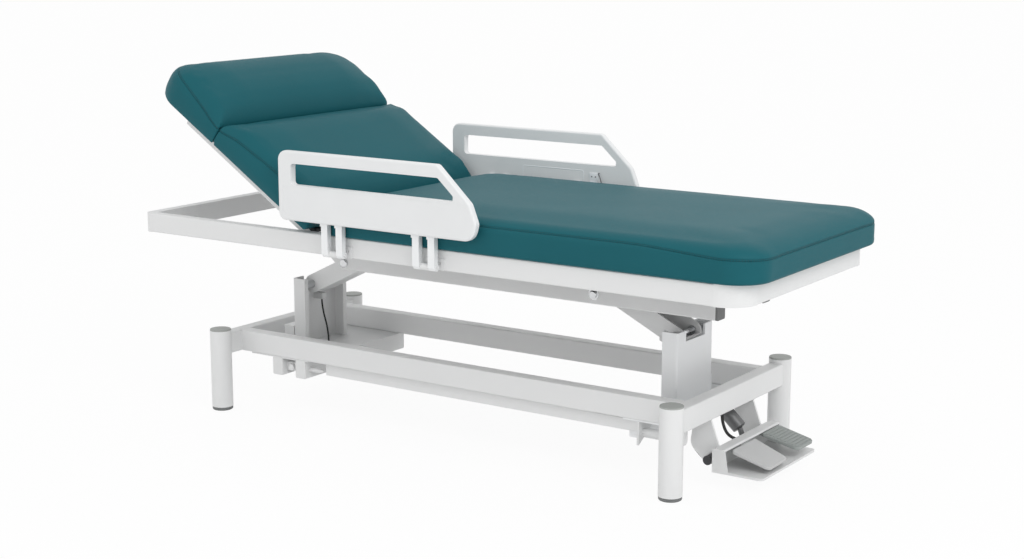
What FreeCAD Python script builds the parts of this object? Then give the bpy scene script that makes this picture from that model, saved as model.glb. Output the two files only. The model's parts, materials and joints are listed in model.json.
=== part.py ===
import FreeCAD, Part
import math
import os

# Examination table: a welded base on four legs, two mirrored swing arms that
# lift a level top frame, a hinged backrest, folding side guards and a foot pump.
# Origin on the floor under the middle of the top, +X to the foot end, +Z up.
# The side that faces -Y is called the front. All sizes are in millimetres.

# Overall placing
frame_length = 1905.0
frame_width = 724.0
cushion_overhang = 30.0
base_centre_x = -10.0
half_length = (frame_length + cushion_overhang) / 2
frame_head_x = -half_length
frame_foot_x = frame_head_x + frame_length

# Clearances
soft_gap = 0.3
curved_gap = 0.2
pin_clearance = 0.1
moving_gap = 0.3

# Base frame
leg_diameter = 60.3
leg_wall = 2.9
leg_half_span_x = 734.0
leg_half_span_y = 298.0
glide_height = 10.0
glide_edge_radius = 4.0
glide_spigot_length = 20.0
leg_top = 232.0
leg_cap_height = 4.0
base_rail_height = 60.0
base_rail_width = 40.0
base_rail_wall = 2.5
base_rail_bottom = 162.0
side_rail_outer_y = 232.0
tube_corner_radius = 4.0

# Cross tubes and floor pans under the columns
pan_thickness = 4.0
pan_inner_reach = 470.0
pan_outer_reach = 680.0
pan_half_width = 228.0
cross_tube_height = 50.0
cross_tube_width = 36.0
cross_tube_wall = 3.0
cross_tube_end_wall = 3.0
drain_radius = 4.0
cross_tube_set_in = 54.0
cross_tube_spacing = 84.0
cross_tube_half_length = {"head": 228.0, "foot": 206.0}

# Columns
column_set_in = 98.0
column_depth = 45.0
column_half_width = 94.0
column_wall = 5.0
column_lip = 10.0
column_height = 198.0
column_notch_half_width = 50.0
column_notch_depth = 28.0
column_foot_depth = 36.0
column_foot_height = 56.0

# Swing arms
arm_length = 225.0
arm_rest_angle = 26.0
arm_pivot_set_in = 34.0
arm_pivot_height = 340.0
arm_end_radius = 26.0
arm_half_width = 48.0
arm_wall = 5.0
arm_open_level = 6.0
arm_pin_radius = 8.0
arm_bush_radius = 12.0
arm_bush_inside = 4.0
pin_cover = 1.5
pin_head_radius = 13.0
pin_head_height = 7.0
pin_head_edge = 5.0
track_bush_radius = 12.0
track_travel_head = 50.0
track_travel_foot = 185.0

# Upright hydraulic ram in the foot column, and the cam pad that it lifts under the arm
cam_base_radius = 42.0
cam_rest_drop = 35.0
cam_low_angle = -33.5
cam_high_angle = 37.5
cam_half_thickness = 6.0
cam_points = 15
ram_cylinder_radius = 16.0
ram_cylinder_height = 106.0
ram_cylinder_floor = 6.0
ram_rod_radius = 9.0
ram_rod_inside = 77.0
ram_head_radius = 15.0
ram_head_height = 8.0

# Top frame
frame_bottom = 506.0
frame_rail_height = 54.0
frame_rail_width = 30.0
frame_wall = 2.5
frame_foot_corner_radius = 76.0
frame_head_corner_radius = 26.0
cross_member_width = 40.0
head_member_x = -492.0
head_member_height = 14.0
seat_member_places = (118.0, 538.0)
sub_rail_inner_y = 105.0
sub_rail_width = 40.0
sub_rail_height = 87.0
sub_rail_wall = 3.0
sub_rail_head_x = -508.0
sub_rail_foot_x = 756.0
sub_rail_slant = 84.0
sub_rail_plug = 6.0
track_bolt_x = 409.0
track_bolt_z = 446.0
track_bolt_radius = 5.0
bolt_washer_radius = 15.0
bolt_washer_height = 2.0

# Seat
board_thickness = 12.0
board_side_gap = 1.0
back_board_half_width = 325.0
seat_head_x = -294.0
cushion_half_width = 375.0
cushion_thickness = 82.0
cushion_corner_radius = 58.0
cushion_edge_radius = 18.0

# Backrest
back_hinge_x = -362.0
back_tube_size = 25.0
back_tube_wall = 2.0
back_tube_half_span = 313.0
back_tube_length = 540.0
back_cross_places = (100.0, 527.0)
back_rest_angle = 33.0
back_board_start = 14.0
back_board_end = 572.0
back_cushion_start = 12.0
pillow_start = 402.0
back_cushion_end = 640.0
pillow_extra = 10.0
part_gap = 2.0
back_pin_radius = 6.0
back_pin_head_radius = 10.0
back_pin_head_height = 4.0
hinge_plate_thickness = 4.0
hinge_plate_length = 56.0

# Gas spring under the seat
spring_lever_radius = 50.0
spring_lever_angle = 190.0
spring_half_gap = 12.0
spring_lever_thickness = 6.0
spring_lever_round = 11.0
spring_anchor_drop = 42.3
spring_length_rest = 150.0
spring_pin_radius = 4.0
spring_tube_radius = 10.0
spring_tube_end = 110.0
spring_tube_wall = 2.0
spring_rod_radius = 4.5
spring_rod_inside = 82.0
spring_eye_radius = 11.0
spring_open_eye_bore = 7.5
spring_open_eye_radius = 12.0
spring_end_wall = 8.0

# Side guards
guard_head_x = -418.0
guard_length = 643.0
guard_bottom = 597.0
guard_top = 783.0
guard_thickness = 20.0
guard_inner_y = 384.0
guard_corner_radius = 26.0
guard_bevel_start = 524.0
guard_bevel_end_drop = 92.0
guard_side_lean = 12.0
guard_window_bottom = 693.0
guard_top_bar = 33.0
guard_window_start = 45.0
guard_window_end = 570.0
guard_window_lean = 44.0
guard_window_radius = 10.0
guard_edge_radius = 5.0
guard_pocket_depth = 0.8
guard_pocket_margin = 16.0
guard_pocket_foot_margin = 30.0
guard_pocket_drop = 4.0
guard_axis_y = 379.0
guard_axis_z = 515.0
guard_barrel_radius = 9.0
guard_pin_radius = 4.0
guard_post_width = 21.0
guard_post_thickness = 8.0
guard_post_outer_y = 391.0
guard_cap_margin = 2.0
guard_cap_height = 8.0
guard_post_top = 688.0
guard_bracket_places = (-248.0, 52.0)
guard_bracket_length = 70.0
guard_plate_thickness = 3.0
guard_plate_half_height = 14.0
guard_plate_tail = 13.0
guard_plate_hole_radius = 3.5
guard_screw_radius = 3.5
guard_screw_height = 1.5

# Bar and brackets under the front rail
tie_bar_thickness = 6.0
tie_bar_height = 34.0
tie_bar_front_y = 218.0
tie_bar_head_x = -422.0
tie_bar_foot_x = 590.5
tie_plate_thickness = 6.0
tie_plate_depth = 70.0
tie_plate_height = 60.0
tie_tube_radius = 12.5
tie_tube_wall = 2.0
tie_tube_y = 205.0
tie_tube_z = 126.0
tie_hanger_in = 1.5
tie_hanger_thickness = 5.0
tie_flange_thickness = 3.0
tie_hanger_half_width = 16.0
tie_hanger_round = 12.0
tie_spacer_half_width = 4.0
tie_spacer_half_height = 12.0
tie_bolt_height = 10.0
tie_pin_radius = 7.0
tie_pin_length = 48.0
hanger_bolt_radius = 9.0

# Foot control
hanger_inner_y = 113.0
hanger_thickness = 6.0
hanger_top_in = 34.0
hanger_top_out = 12.0
hanger_lip = 4.0
hanger_nose_height = 30.0
hanger_nose_radius = 10.0
hanger_nose_lift = 2.0
hanger_toe_radius = 6.0
hanger_heel_radius = 20.0
hanger_back_in = 44.0
hanger_back_height = 24.0
hanger_back_radius = 30.0
foot_bar_reach = 755.0
foot_bar_height = 64.0
foot_bar_radius = 12.0
foot_bar_half_length = 150.0
tray_half_width = 155.0
tray_bottom = 38.0
tray_plate = 6.0
tray_depth = 138.0
tray_housing_depth = 34.0
tray_housing_height = 61.0
tray_wall = 4.0
pedal_hinge_in = 16.0
pedal_hinge_height = 87.0
pedal_lift = 8.0
pedal_thickness = 8.0
pedal_length = 104.0
pedal_pin_radius = 4.0
pedal_lug_radius = 7.0
pedal_lug_width = 30.0
raise_pedal_centre_y = 88.0
raise_pedal_width = 100.0
raise_pedal_slope = 13.0
raise_pedal_front_ratio = 0.94
lower_pedal_centre_y = -66.0
lower_pedal_width = 128.0
lower_pedal_slope = 18.0
lower_pedal_front_ratio = 0.82
pedal_rib_count = 9
pedal_rib_height = 1.2
pump_radius = 19.0
pump_y = 52.0
pump_top_offset = (-65.0, 82.0)
pump_bottom_offset = (-13.0, 34.0)
pump_rod_radius = 7.0
pump_eye_radius = 16.0
pump_eye_half_width = 8.0
hose_radius = 4.0
hose_fitting_radius = 7.0
hose_fitting_length = 14.0
hose_y = -6.0
hose_set_in = 14.0
hose_lead = 26.0
hose_bend_reach = 21.546
hose_entry_drop = 14.0
head_hose_radius = 2.5
head_hose_reach = 23.0
head_hose_rise = 30.0
valve_size = 18.0
valve_reach = 24.0
valve_level = 134.0

# Levels and places that follow from the sizes above
base_rail_top = base_rail_bottom + base_rail_height
column_outer_reach = leg_half_span_x - column_set_in
arm_pivot_reach = column_outer_reach - arm_pivot_set_in
cross_tube_outer_reach = column_outer_reach - cross_tube_set_in
cross_tube_reach = (cross_tube_outer_reach - cross_tube_spacing, cross_tube_outer_reach)
foot_rail_x = base_centre_x + leg_half_span_x
tie_tube_foot_x = foot_rail_x - base_rail_width / 2 + tie_hanger_in
pan_bottom = base_rail_bottom - pan_thickness
column_top = base_rail_bottom + column_height
leg_radius = leg_diameter / 2
leg_bore = leg_radius - leg_wall
arm_slope = math.radians(arm_rest_angle)
arm_run = arm_length * math.cos(arm_slope)
arm_rise = arm_length * math.sin(arm_slope)
upper_pivot_height = arm_pivot_height + arm_rise
upper_pivot_reach = arm_pivot_reach - arm_run
head_pivot_x = base_centre_x - arm_pivot_reach
head_upper_x = base_centre_x - upper_pivot_reach
foot_pivot_x = base_centre_x + arm_pivot_reach
foot_upper_x = base_centre_x + upper_pivot_reach
frame_top = frame_bottom + frame_rail_height
frame_half_width = frame_width / 2
rail_inner_y = frame_half_width - frame_rail_width
sub_rail_outer_y = sub_rail_inner_y + sub_rail_width
sub_rail_bottom = frame_bottom - sub_rail_height
seat_board_bottom = frame_top - board_thickness
seat_member_height = frame_rail_height - board_thickness
cushion_bottom = frame_top + soft_gap
seat_top = cushion_bottom + cushion_thickness
back_hinge_z = cushion_bottom - soft_gap - board_thickness - back_tube_size / 2
foot_bar_x = base_centre_x + foot_bar_reach
tray_rear_x = foot_bar_x + pump_eye_radius + soft_gap
pedal_hinge_x = tray_rear_x + pedal_hinge_in

nodes = {}


def vec(x, y, z):
    return FreeCAD.Vector(x, y, z)


def place(plane, u, v, level):
    """Point of a drawing plane: xy, xz or yz, at a level of the third axis."""
    if plane == "xy":
        return vec(u, v, level)
    if plane == "xz":
        return vec(u, level, v)
    return vec(level, u, v)


def along(plane, distance):
    """Vector of that length along the axis square to a drawing plane."""
    if plane == "xy":
        return vec(0, 0, distance)
    if plane == "xz":
        return vec(0, distance, 0)
    return vec(distance, 0, 0)


def outline(corners, plane, level):
    """Closed wire through corners (u, v, radius), with tangent arcs where a radius is given."""
    count = len(corners)
    starts = []
    ends = []
    middles = []
    for i in range(count):
        u, v, radius = corners[i]
        before = corners[i - 1]
        after = corners[(i + 1) % count]
        here = vec(u, v, 0)
        back = (vec(before[0], before[1], 0) - here).normalize()
        ahead = (vec(after[0], after[1], 0) - here).normalize()
        if radius <= 0:
            starts.append(here)
            ends.append(here)
            middles.append(None)
            continue
        half = back.getAngle(ahead) / 2
        reach = radius / math.tan(half)
        centre_way = (back + ahead).normalize()
        centre = here + centre_way * (radius / math.sin(half))
        starts.append(here + back * reach)
        ends.append(here + ahead * reach)
        middles.append(centre - centre_way * radius)
    edges = []
    for i in range(count):
        if middles[i] is not None:
            bend = [place(plane, p.x, p.y, level) for p in (starts[i], middles[i], ends[i])]
            edges.append(Part.Arc(*bend).toShape())
        nxt = (i + 1) % count
        if (starts[nxt] - ends[i]).Length > 0.001:
            first = place(plane, ends[i].x, ends[i].y, level)
            second = place(plane, starts[nxt].x, starts[nxt].y, level)
            edges.append(Part.LineSegment(first, second).toShape())
    return Part.Wire(Part.__sortEdges__(edges))


def slab(corners, plane, low, high):
    """Plate with a rounded outline between two levels."""
    face = Part.Face(outline(corners, plane, low))
    return face.extrude(along(plane, high - low))


def rectangle(u0, u1, v0, v1, radius=0.0):
    return [(u0, v0, radius), (u1, v0, radius), (u1, v1, radius), (u0, v1, radius)]


def block(x0, x1, y0, y1, z0, z1):
    return Part.makeBox(x1 - x0, y1 - y0, z1 - z0, vec(x0, y0, z0))


def box_tube(plane, u0, u1, v0, v1, low, high, wall, radius=tube_corner_radius):
    """Rectangular tube, open at both ends, square to a drawing plane."""
    outer = slab(rectangle(u0, u1, v0, v1, radius), plane, low, high)
    inner_radius = max(radius - wall, 0.5)
    inner = slab(rectangle(u0 + wall, u1 - wall, v0 + wall, v1 - wall, inner_radius), plane, low, high)
    return outer.cut(inner)


def rod(start, end, radius):
    way = end - start
    return Part.makeCylinder(radius, way.Length, start, way)


def pipe(start, end, radius, bore):
    return rod(start, end, radius).cut(rod(start, end, bore))


def dome(centre, way, radius):
    """Round pin head with a domed rim, standing on centre along way."""
    head = Part.makeCylinder(radius, pin_head_height)
    rim = [e for e in head.Edges if e.BoundBox.ZMin > pin_head_height - 0.001]
    head = head.makeFillet(pin_head_edge, rim)
    head.Placement = FreeCAD.Placement(centre, FreeCAD.Rotation(vec(0, 0, 1), way))
    return head


def mirror_y(shape):
    return shape.mirror(vec(0, 0, 0), vec(0, 1, 0))


def mirror_base(shape):
    """Mirror from the head half of the base to the foot half."""
    return shape.mirror(vec(base_centre_x, 0, 0), vec(1, 0, 0))


def both_sides(shape):
    return [shape, mirror_y(shape)]


def fuse_all(shapes):
    body = shapes[0]
    for other in shapes[1:]:
        body = body.fuse(other)
    return body.removeSplitter()


def add(name, *shapes):
    """Keep the solids of a node for the export."""
    solids = []
    for shape in shapes:
        solids.extend(shape.Solids)
    nodes[name] = solids


def leg_places():
    for side_x in (-1, 1):
        for side_y in (-1, 1):
            yield base_centre_x + side_x * leg_half_span_x, side_y * leg_half_span_y


def rounded_disc(radius, height, edge):
    """Disc on the floor with a rounded lower rim."""
    disc = Part.makeCylinder(radius, height)
    rim = [e for e in disc.Edges if e.BoundBox.ZMax < 0.001 and len(e.Vertexes) == 1]
    return disc.makeFillet(edge, rim)


def build_legs():
    legs = []
    caps = []
    glides = []
    spigot_radius = leg_bore - curved_gap
    for x, y in leg_places():
        legs.append(pipe(vec(x, y, glide_height), vec(x, y, leg_top), leg_radius, leg_bore))
        foot = rounded_disc(leg_radius - 0.8, glide_height, glide_edge_radius)
        foot.translate(vec(x, y, 0))
        plug = rod(vec(x, y, glide_height - 1), vec(x, y, glide_height + glide_spigot_length), spigot_radius)
        glides.append(foot.fuse(plug).removeSplitter())
        disc = rod(vec(x, y, leg_top), vec(x, y, leg_top + leg_cap_height), leg_radius - 0.4)
        rim = [e for e in disc.Edges if e.BoundBox.ZMin > leg_top + leg_cap_height - 0.001]
        disc = disc.makeFillet(leg_cap_height / 3, rim)
        plug = rod(vec(x, y, leg_top - glide_spigot_length), vec(x, y, leg_top + 1), spigot_radius)
        caps.append(disc.fuse(plug).removeSplitter())
    add("legs", *legs)
    add("leg_caps", *caps)
    add("leg_glides", *glides)


def build_base_rails():
    low = base_rail_bottom
    high = base_rail_top
    half = base_rail_width / 2
    for name, side in (("head", -1), ("foot", 1)):
        x = base_centre_x + side * leg_half_span_x
        rail = box_tube("xz", x - half, x + half, low, high, -leg_half_span_y, leg_half_span_y, base_rail_wall)
        for sign in (-1, 1):
            y = sign * leg_half_span_y
            rail = rail.cut(rod(vec(x, y, 0), vec(x, y, leg_top), leg_radius + curved_gap))
        add("base_end_rail_" + name, rail)
    start = base_centre_x - leg_half_span_x + half
    end = base_centre_x + leg_half_span_x - half
    inner = side_rail_outer_y - base_rail_width
    rail = box_tube("yz", -side_rail_outer_y, -inner, low, high, start, end, base_rail_wall)
    add("base_side_rail_front", rail)
    add("base_side_rail_back", mirror_y(rail))


def build_pan(name):
    """Two cross tubes with a floor pan on them, under one column."""
    half_length = cross_tube_half_length[name]
    low = pan_bottom - cross_tube_height
    half = cross_tube_width / 2
    solids = []
    for reach in cross_tube_reach:
        x = base_centre_x - reach
        tube = box_tube("xz", x - half, x + half, low, pan_bottom, -half_length, half_length, cross_tube_wall)
        inner = half - cross_tube_wall + 0.5
        for y in (-half_length, half_length - cross_tube_end_wall):
            tube = tube.fuse(block(x - inner, x + inner, y, y + cross_tube_end_wall,
                                   low + cross_tube_wall - 0.5, pan_bottom - cross_tube_wall + 0.5))
        drain = rod(vec(x, 0, low - 1), vec(x, 0, low + cross_tube_wall + 1), drain_radius)
        solids.append(tube.cut(drain).removeSplitter())
    start = base_centre_x - pan_outer_reach
    end = base_centre_x - pan_inner_reach
    solids.append(block(start, end, -pan_half_width, pan_half_width, pan_bottom, base_rail_bottom))
    if name == "foot":
        solids = [mirror_base(solid) for solid in solids]
    add(name + "_crossmember", *solids)


def column_shape():
    """Folded column at the head end, open to the middle of the table."""
    outer = base_centre_x - column_outer_reach
    inner = outer + column_depth
    low = base_rail_bottom
    wide = column_half_width
    shell = slab(rectangle(outer, inner, -wide, wide, 0.0), "xy", low, column_top)
    bend = [e for e in shell.Edges if abs(e.BoundBox.XMax - outer) < 0.01 and e.BoundBox.ZLength > 100]
    shell = shell.makeFillet(column_wall + 2, bend)
    space = block(outer + column_wall, inner - column_wall, -wide + column_wall, wide - column_wall,
                  low, column_top)
    mouth = wide - column_wall - column_lip
    gap = block(inner - column_wall - 1, inner + 1, -mouth, mouth, low, column_top)
    notch_low = column_top - column_notch_depth
    notch = block(outer - 1, outer + column_wall + 1, -column_notch_half_width, column_notch_half_width,
                  notch_low, column_top + 1)
    column = shell.cut(space).cut(gap).cut(notch)
    for sign in (-1, 1):
        start = vec(head_pivot_x, sign * (mouth + soft_gap), arm_pivot_height)
        column = column.fuse(rod(start, vec(head_pivot_x, sign * (wide - 1), arm_pivot_height), arm_bush_radius))
    end = wide - pin_cover
    bore = rod(vec(head_pivot_x, -end, arm_pivot_height), vec(head_pivot_x, end, arm_pivot_height),
               arm_pin_radius + curved_gap)
    column = column.cut(bore)
    foot_x = outer - column_foot_depth
    foot_top = low + column_foot_height
    foot = block(foot_x, outer, -wide, wide, low, foot_top)
    hollow = block(foot_x + column_wall, outer + 1, -wide + column_wall, wide - column_wall,
                   low, foot_top - column_wall)
    foot = foot.cut(hollow)
    return column.fuse(foot).removeSplitter()


def build_columns():
    column = column_shape()
    add("head_column", column)
    add("foot_column", mirror_base(column))
    end = column_half_width - pin_cover - soft_gap
    pin = rod(vec(head_pivot_x, -end, arm_pivot_height), vec(head_pivot_x, end, arm_pivot_height), arm_pin_radius)
    add("column_pins", pin, mirror_base(pin))


def cam_edge():
    """Lower edge of the cam pad, an involute in the plane of the arm drawn flat.

    Its contact with the flat head of the ram stays on the ram's axis, so the ram
    rises by the same distance for every degree of the arm.
    """
    points = []
    for i in range(cam_points):
        share = i / (cam_points - 1)
        lift = math.radians(cam_low_angle + (cam_high_angle - cam_low_angle) * share)
        height = cam_base_radius * lift - cam_rest_drop
        turn = lift + arm_slope
        x = cam_base_radius * math.cos(turn) + height * math.sin(turn)
        z = height * math.cos(turn) - cam_base_radius * math.sin(turn)
        points.append(vec(x, -cam_half_thickness, z))
    return points


def cam_pad():
    """Plate under the arm's bottom, with the involute as its lower edge."""
    points = cam_edge()
    curve = Part.BSplineCurve()
    curve.interpolate(points)
    level = 1 - arm_end_radius
    near = vec(points[-1].x - 8, -cam_half_thickness, level)
    far = vec(points[0].x + 14, -cam_half_thickness, level)
    edges = [curve.toShape(), Part.LineSegment(points[-1], near).toShape(),
             Part.LineSegment(near, far).toShape(), Part.LineSegment(far, points[0]).toShape()]
    face = Part.Face(Part.Wire(Part.__sortEdges__(edges)))
    return face.extrude(along("xz", 2 * cam_half_thickness))


def arm_channel():
    """Swing arm drawn flat from its lower pivot along +X, as a tub open at the top."""
    radius = arm_end_radius
    wide = arm_half_width
    inner = radius - arm_wall
    body = slab(rectangle(-radius, arm_length + radius, -radius, radius, radius), "xz", -wide, wide)
    space = slab(rectangle(-inner, arm_length + inner, -inner, inner, inner), "xz",
                 -wide + arm_wall, wide - arm_wall)
    mouth = block(-radius - 1, arm_length + radius + 1, -wide + arm_wall, wide - arm_wall,
                  arm_open_level, radius + 1)
    arm = body.cut(space).cut(mouth)
    for x in (0, arm_length):
        arm = arm.cut(rod(vec(x, -wide - 1, 0), vec(x, wide + 1, 0), arm_bush_radius + curved_gap))
    return arm


def set_arm(shape):
    """Turn a piece drawn along the flat arm to its rest slope at the head column."""
    turned = shape.copy()
    turned.rotate(vec(0, 0, 0), vec(0, -1, 0), arm_rest_angle)
    turned.translate(vec(head_pivot_x, 0, arm_pivot_height))
    return turned


def arm_bush(x, reach, bore):
    """Bush from inside the arm's side plate out to a reach, for one side."""
    start = arm_half_width - arm_wall - arm_bush_inside
    return pipe(vec(x, start, 0), vec(x, reach, 0), arm_bush_radius, bore)


def build_arms():
    bore = arm_pin_radius + pin_clearance
    lower = arm_bush(0, column_half_width - column_wall - column_lip, bore)
    upper = arm_bush(arm_length, sub_rail_inner_y - moving_gap, bore)
    add("head_arm", set_arm(arm_channel()))
    add("head_arm_bushes", *[set_arm(s) for s in both_sides(lower) + both_sides(upper)])
    add("foot_arm", mirror_base(set_arm(fuse_all([arm_channel(), cam_pad()]))))
    foot_upper = arm_bush(arm_length, sub_rail_inner_y - 4, arm_pin_radius + curved_gap)
    foot_bushes = both_sides(lower) + both_sides(foot_upper)
    add("foot_arm_bushes", *[mirror_base(set_arm(s)) for s in foot_bushes])
    end = sub_rail_inner_y + sub_rail_wall + 12
    shaft = rod(vec(arm_length, -end, 0), vec(arm_length, end, 0), arm_pin_radius)
    add("track_shaft", mirror_base(set_arm(shaft)))
    track = pipe(vec(arm_length, sub_rail_inner_y - 3, 0), vec(arm_length, sub_rail_inner_y + sub_rail_wall + 6, 0),
                 track_bush_radius, arm_pin_radius + curved_gap)
    add("track_bushes", *[mirror_base(set_arm(s)) for s in both_sides(track)])


def build_ram():
    """Upright cylinder on the floor pan, with the rod just under the cam pad."""
    x = foot_pivot_x - cam_base_radius
    low = base_rail_bottom
    high = low + ram_cylinder_height
    head_top = arm_pivot_height - cam_rest_drop - moving_gap
    cylinder = rod(vec(x, 0, low), vec(x, 0, high), ram_cylinder_radius)
    bore = rod(vec(x, 0, low + ram_cylinder_floor), vec(x, 0, high + 1), ram_rod_radius + pin_clearance)
    add("ram_cylinder", cylinder.cut(bore))
    stem = rod(vec(x, 0, high - ram_rod_inside), vec(x, 0, head_top), ram_rod_radius)
    head = rod(vec(x, 0, head_top - ram_head_height), vec(x, 0, head_top), ram_head_radius)
    add("ram_rod", fuse_all([stem, head]))


def build_top_frame():
    low = frame_bottom
    high = frame_top
    outer_y = frame_half_width
    inner_y = rail_inner_y
    foot_radius = frame_foot_corner_radius
    head_radius = frame_head_corner_radius
    shape_corners = [(frame_head_x, -outer_y, head_radius), (frame_foot_x, -outer_y, foot_radius),
                     (frame_foot_x, outer_y, foot_radius), (frame_head_x, outer_y, head_radius)]
    width = frame_rail_width
    inner_corners = [(frame_head_x + width, -inner_y, 2), (frame_foot_x - width, -inner_y, foot_radius - width),
                     (frame_foot_x - width, inner_y, foot_radius - width), (frame_head_x + width, inner_y, 2)]
    ring = slab(shape_corners, "xy", low, high).cut(slab(inner_corners, "xy", low, high))
    foot_start = frame_foot_x - foot_radius
    head_end = frame_head_x + width
    far = frame_half_width + 1
    wall = frame_wall
    rail = box_tube("yz", -outer_y, -inner_y, low, high, head_end, foot_start, wall)
    add("top_rail_front", rail)
    add("top_rail_back", mirror_y(rail))
    head_end_tube = ring.common(block(frame_head_x - 1, head_end, -far, far, low, high))
    hollow = block(frame_head_x + wall, head_end - wall, -outer_y + wall + 6, outer_y - wall - 6,
                   low + wall, high - wall)
    drain_x = frame_head_x + width / 2
    drain = rod(vec(drain_x, 0, low - 1), vec(drain_x, 0, low + wall + 1), drain_radius)
    add("top_end_head", head_end_tube.cut(hollow).cut(drain))
    pieces = []
    corner_y = outer_y - foot_radius
    for sign in (-1, 1):
        y0 = corner_y if sign > 0 else -far
        y1 = far if sign > 0 else -corner_y
        pieces.append(ring.common(block(foot_start, frame_foot_x + 1, y0, y1, low, high)))
    end_tube = box_tube("xz", frame_foot_x - width, frame_foot_x, low, high, -corner_y, corner_y, wall)
    add("top_end_foot", end_tube, *pieces)
    members = []
    half = cross_member_width / 2
    places = [(head_member_x, head_member_height), (spring_anchor_point().x, seat_member_height)]
    places += [(x, seat_member_height) for x in seat_member_places]
    for x, height in places:
        members.append(box_tube("xz", x - half, x + half, low, low + height, -inner_y, inner_y, wall))
    add("cross_members", *members)


def build_sub_rails():
    inner = sub_rail_inner_y
    outer = sub_rail_outer_y
    low = sub_rail_bottom
    high = frame_bottom
    rail = box_tube("yz", -outer, -inner, low, high, sub_rail_head_x, sub_rail_foot_x, sub_rail_wall)
    wedge = slab([(sub_rail_head_x - 1, low - 1, 0), (sub_rail_head_x + sub_rail_slant, low - 1, 0),
                  (sub_rail_head_x - 1, high - 8, 0)], "xz", -outer - 1, -inner + 1)
    rail = rail.cut(wedge)
    upper = upper_pivot_height
    for y0, y1 in ((-outer - 1, -outer + 10), (-inner - 10, -inner + 1)):
        rail = rail.cut(rod(vec(head_upper_x, y0, upper), vec(head_upper_x, y1, upper),
                            arm_pin_radius + curved_gap))
    slot_radius = track_bush_radius + moving_gap
    slot = rectangle(foot_upper_x - track_travel_head - slot_radius, foot_upper_x + track_travel_foot + slot_radius,
                     upper - slot_radius, upper + slot_radius, slot_radius)
    rail = rail.cut(slab(slot, "xz", -inner - sub_rail_wall - 1, -inner + 1))
    rail = rail.cut(rod(vec(track_bolt_x, -outer - 1, track_bolt_z), vec(track_bolt_x, -outer + 10, track_bolt_z),
                        track_bolt_radius + curved_gap))
    add("sub_rail_front", rail)
    add("sub_rail_back", mirror_y(rail))
    edge = slab(rectangle(-outer, -inner, low, high, tube_corner_radius), "yz",
                sub_rail_foot_x, sub_rail_foot_x + sub_rail_plug)
    gap = sub_rail_wall + curved_gap
    stem = slab(rectangle(-outer + gap, -inner - gap, low + gap, high - gap, 1.0), "yz",
                sub_rail_foot_x - 16, sub_rail_foot_x + 1)
    plug = edge.fuse(stem).removeSplitter()
    add("sub_rail_plugs", *both_sides(plug))
    start = vec(head_upper_x, -outer, upper)
    end = vec(head_upper_x, outer, upper)
    pin = fuse_all([rod(start, end, arm_pin_radius),
                    dome(start, vec(0, -1, 0), pin_head_radius),
                    dome(end, vec(0, 1, 0), pin_head_radius)])
    add("top_frame_pin", pin)
    face = vec(track_bolt_x, -outer, track_bolt_z)
    bolt = fuse_all([rod(face + vec(0, 14, 0), face, track_bolt_radius),
                     rod(face, face - vec(0, bolt_washer_height, 0), bolt_washer_radius),
                     dome(face - vec(0, bolt_washer_height, 0), vec(0, -1, 0), pin_head_radius - 2)])
    add("track_bolts", *both_sides(bolt))


def build_seat():
    corner = cushion_corner_radius
    end = frame_foot_x + cushion_overhang
    wide = rail_inner_y - board_side_gap
    board_end = frame_foot_x - frame_rail_width - board_side_gap
    board_corner = frame_foot_corner_radius - frame_rail_width
    board = slab([(seat_head_x + 4, -wide, 0), (board_end, -wide, board_corner),
                  (board_end, wide, board_corner), (seat_head_x + 4, wide, 0)], "xy", seat_board_bottom, frame_top)
    add("seat_board", board)
    wide = cushion_half_width
    corners = [(seat_head_x, -wide, 6), (end, -wide, corner), (end, wide, corner), (seat_head_x, wide, 6)]
    cushion = slab(corners, "xy", cushion_bottom, seat_top)
    rim = [e for e in cushion.Edges if e.BoundBox.ZMin > seat_top - 0.001]
    rim = [e for e in rim if e.BoundBox.XMax > seat_head_x + 7]
    add("seat_cushion", cushion.makeFillet(cushion_edge_radius, rim))


def back_frame():
    """Placement that lifts the flat backrest, drawn towards -X from its hinge, to its rest angle."""
    turn = FreeCAD.Rotation(vec(0, 1, 0), back_rest_angle)
    return FreeCAD.Placement(vec(back_hinge_x, 0, back_hinge_z), turn)


def lift_back(shape):
    lifted = shape.copy()
    lifted.Placement = back_frame().multiply(shape.Placement)
    return lifted


def flat_slab(start, end, half_width, low, high, radius, edge):
    """Flat closed pad along -X from the hinge, with a rounded upper rim."""
    corners = [(-end, -half_width, radius), (-start, -half_width, 4), (-start, half_width, 4),
               (-end, half_width, radius)]
    pad = slab(corners, "xy", low, high)
    rim = [e for e in pad.Edges if e.BoundBox.ZMin > high - 0.001]
    return pad.makeFillet(edge, rim) if edge > 0 else pad


def spring_lever_point():
    """Centre of the gas spring's pin on the backrest lever, at rest."""
    angle = math.radians(spring_lever_angle)
    return vec(back_hinge_x + spring_lever_radius * math.cos(angle), 0,
               back_hinge_z + spring_lever_radius * math.sin(angle))


def spring_anchor_point():
    """Centre of the gas spring's fixed pin, under a cross member of the top frame."""
    end = spring_lever_point()
    z = frame_bottom - spring_anchor_drop
    run = math.sqrt(spring_length_rest ** 2 - (z - end.z) ** 2)
    return vec(end.x + run, 0, z)


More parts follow.
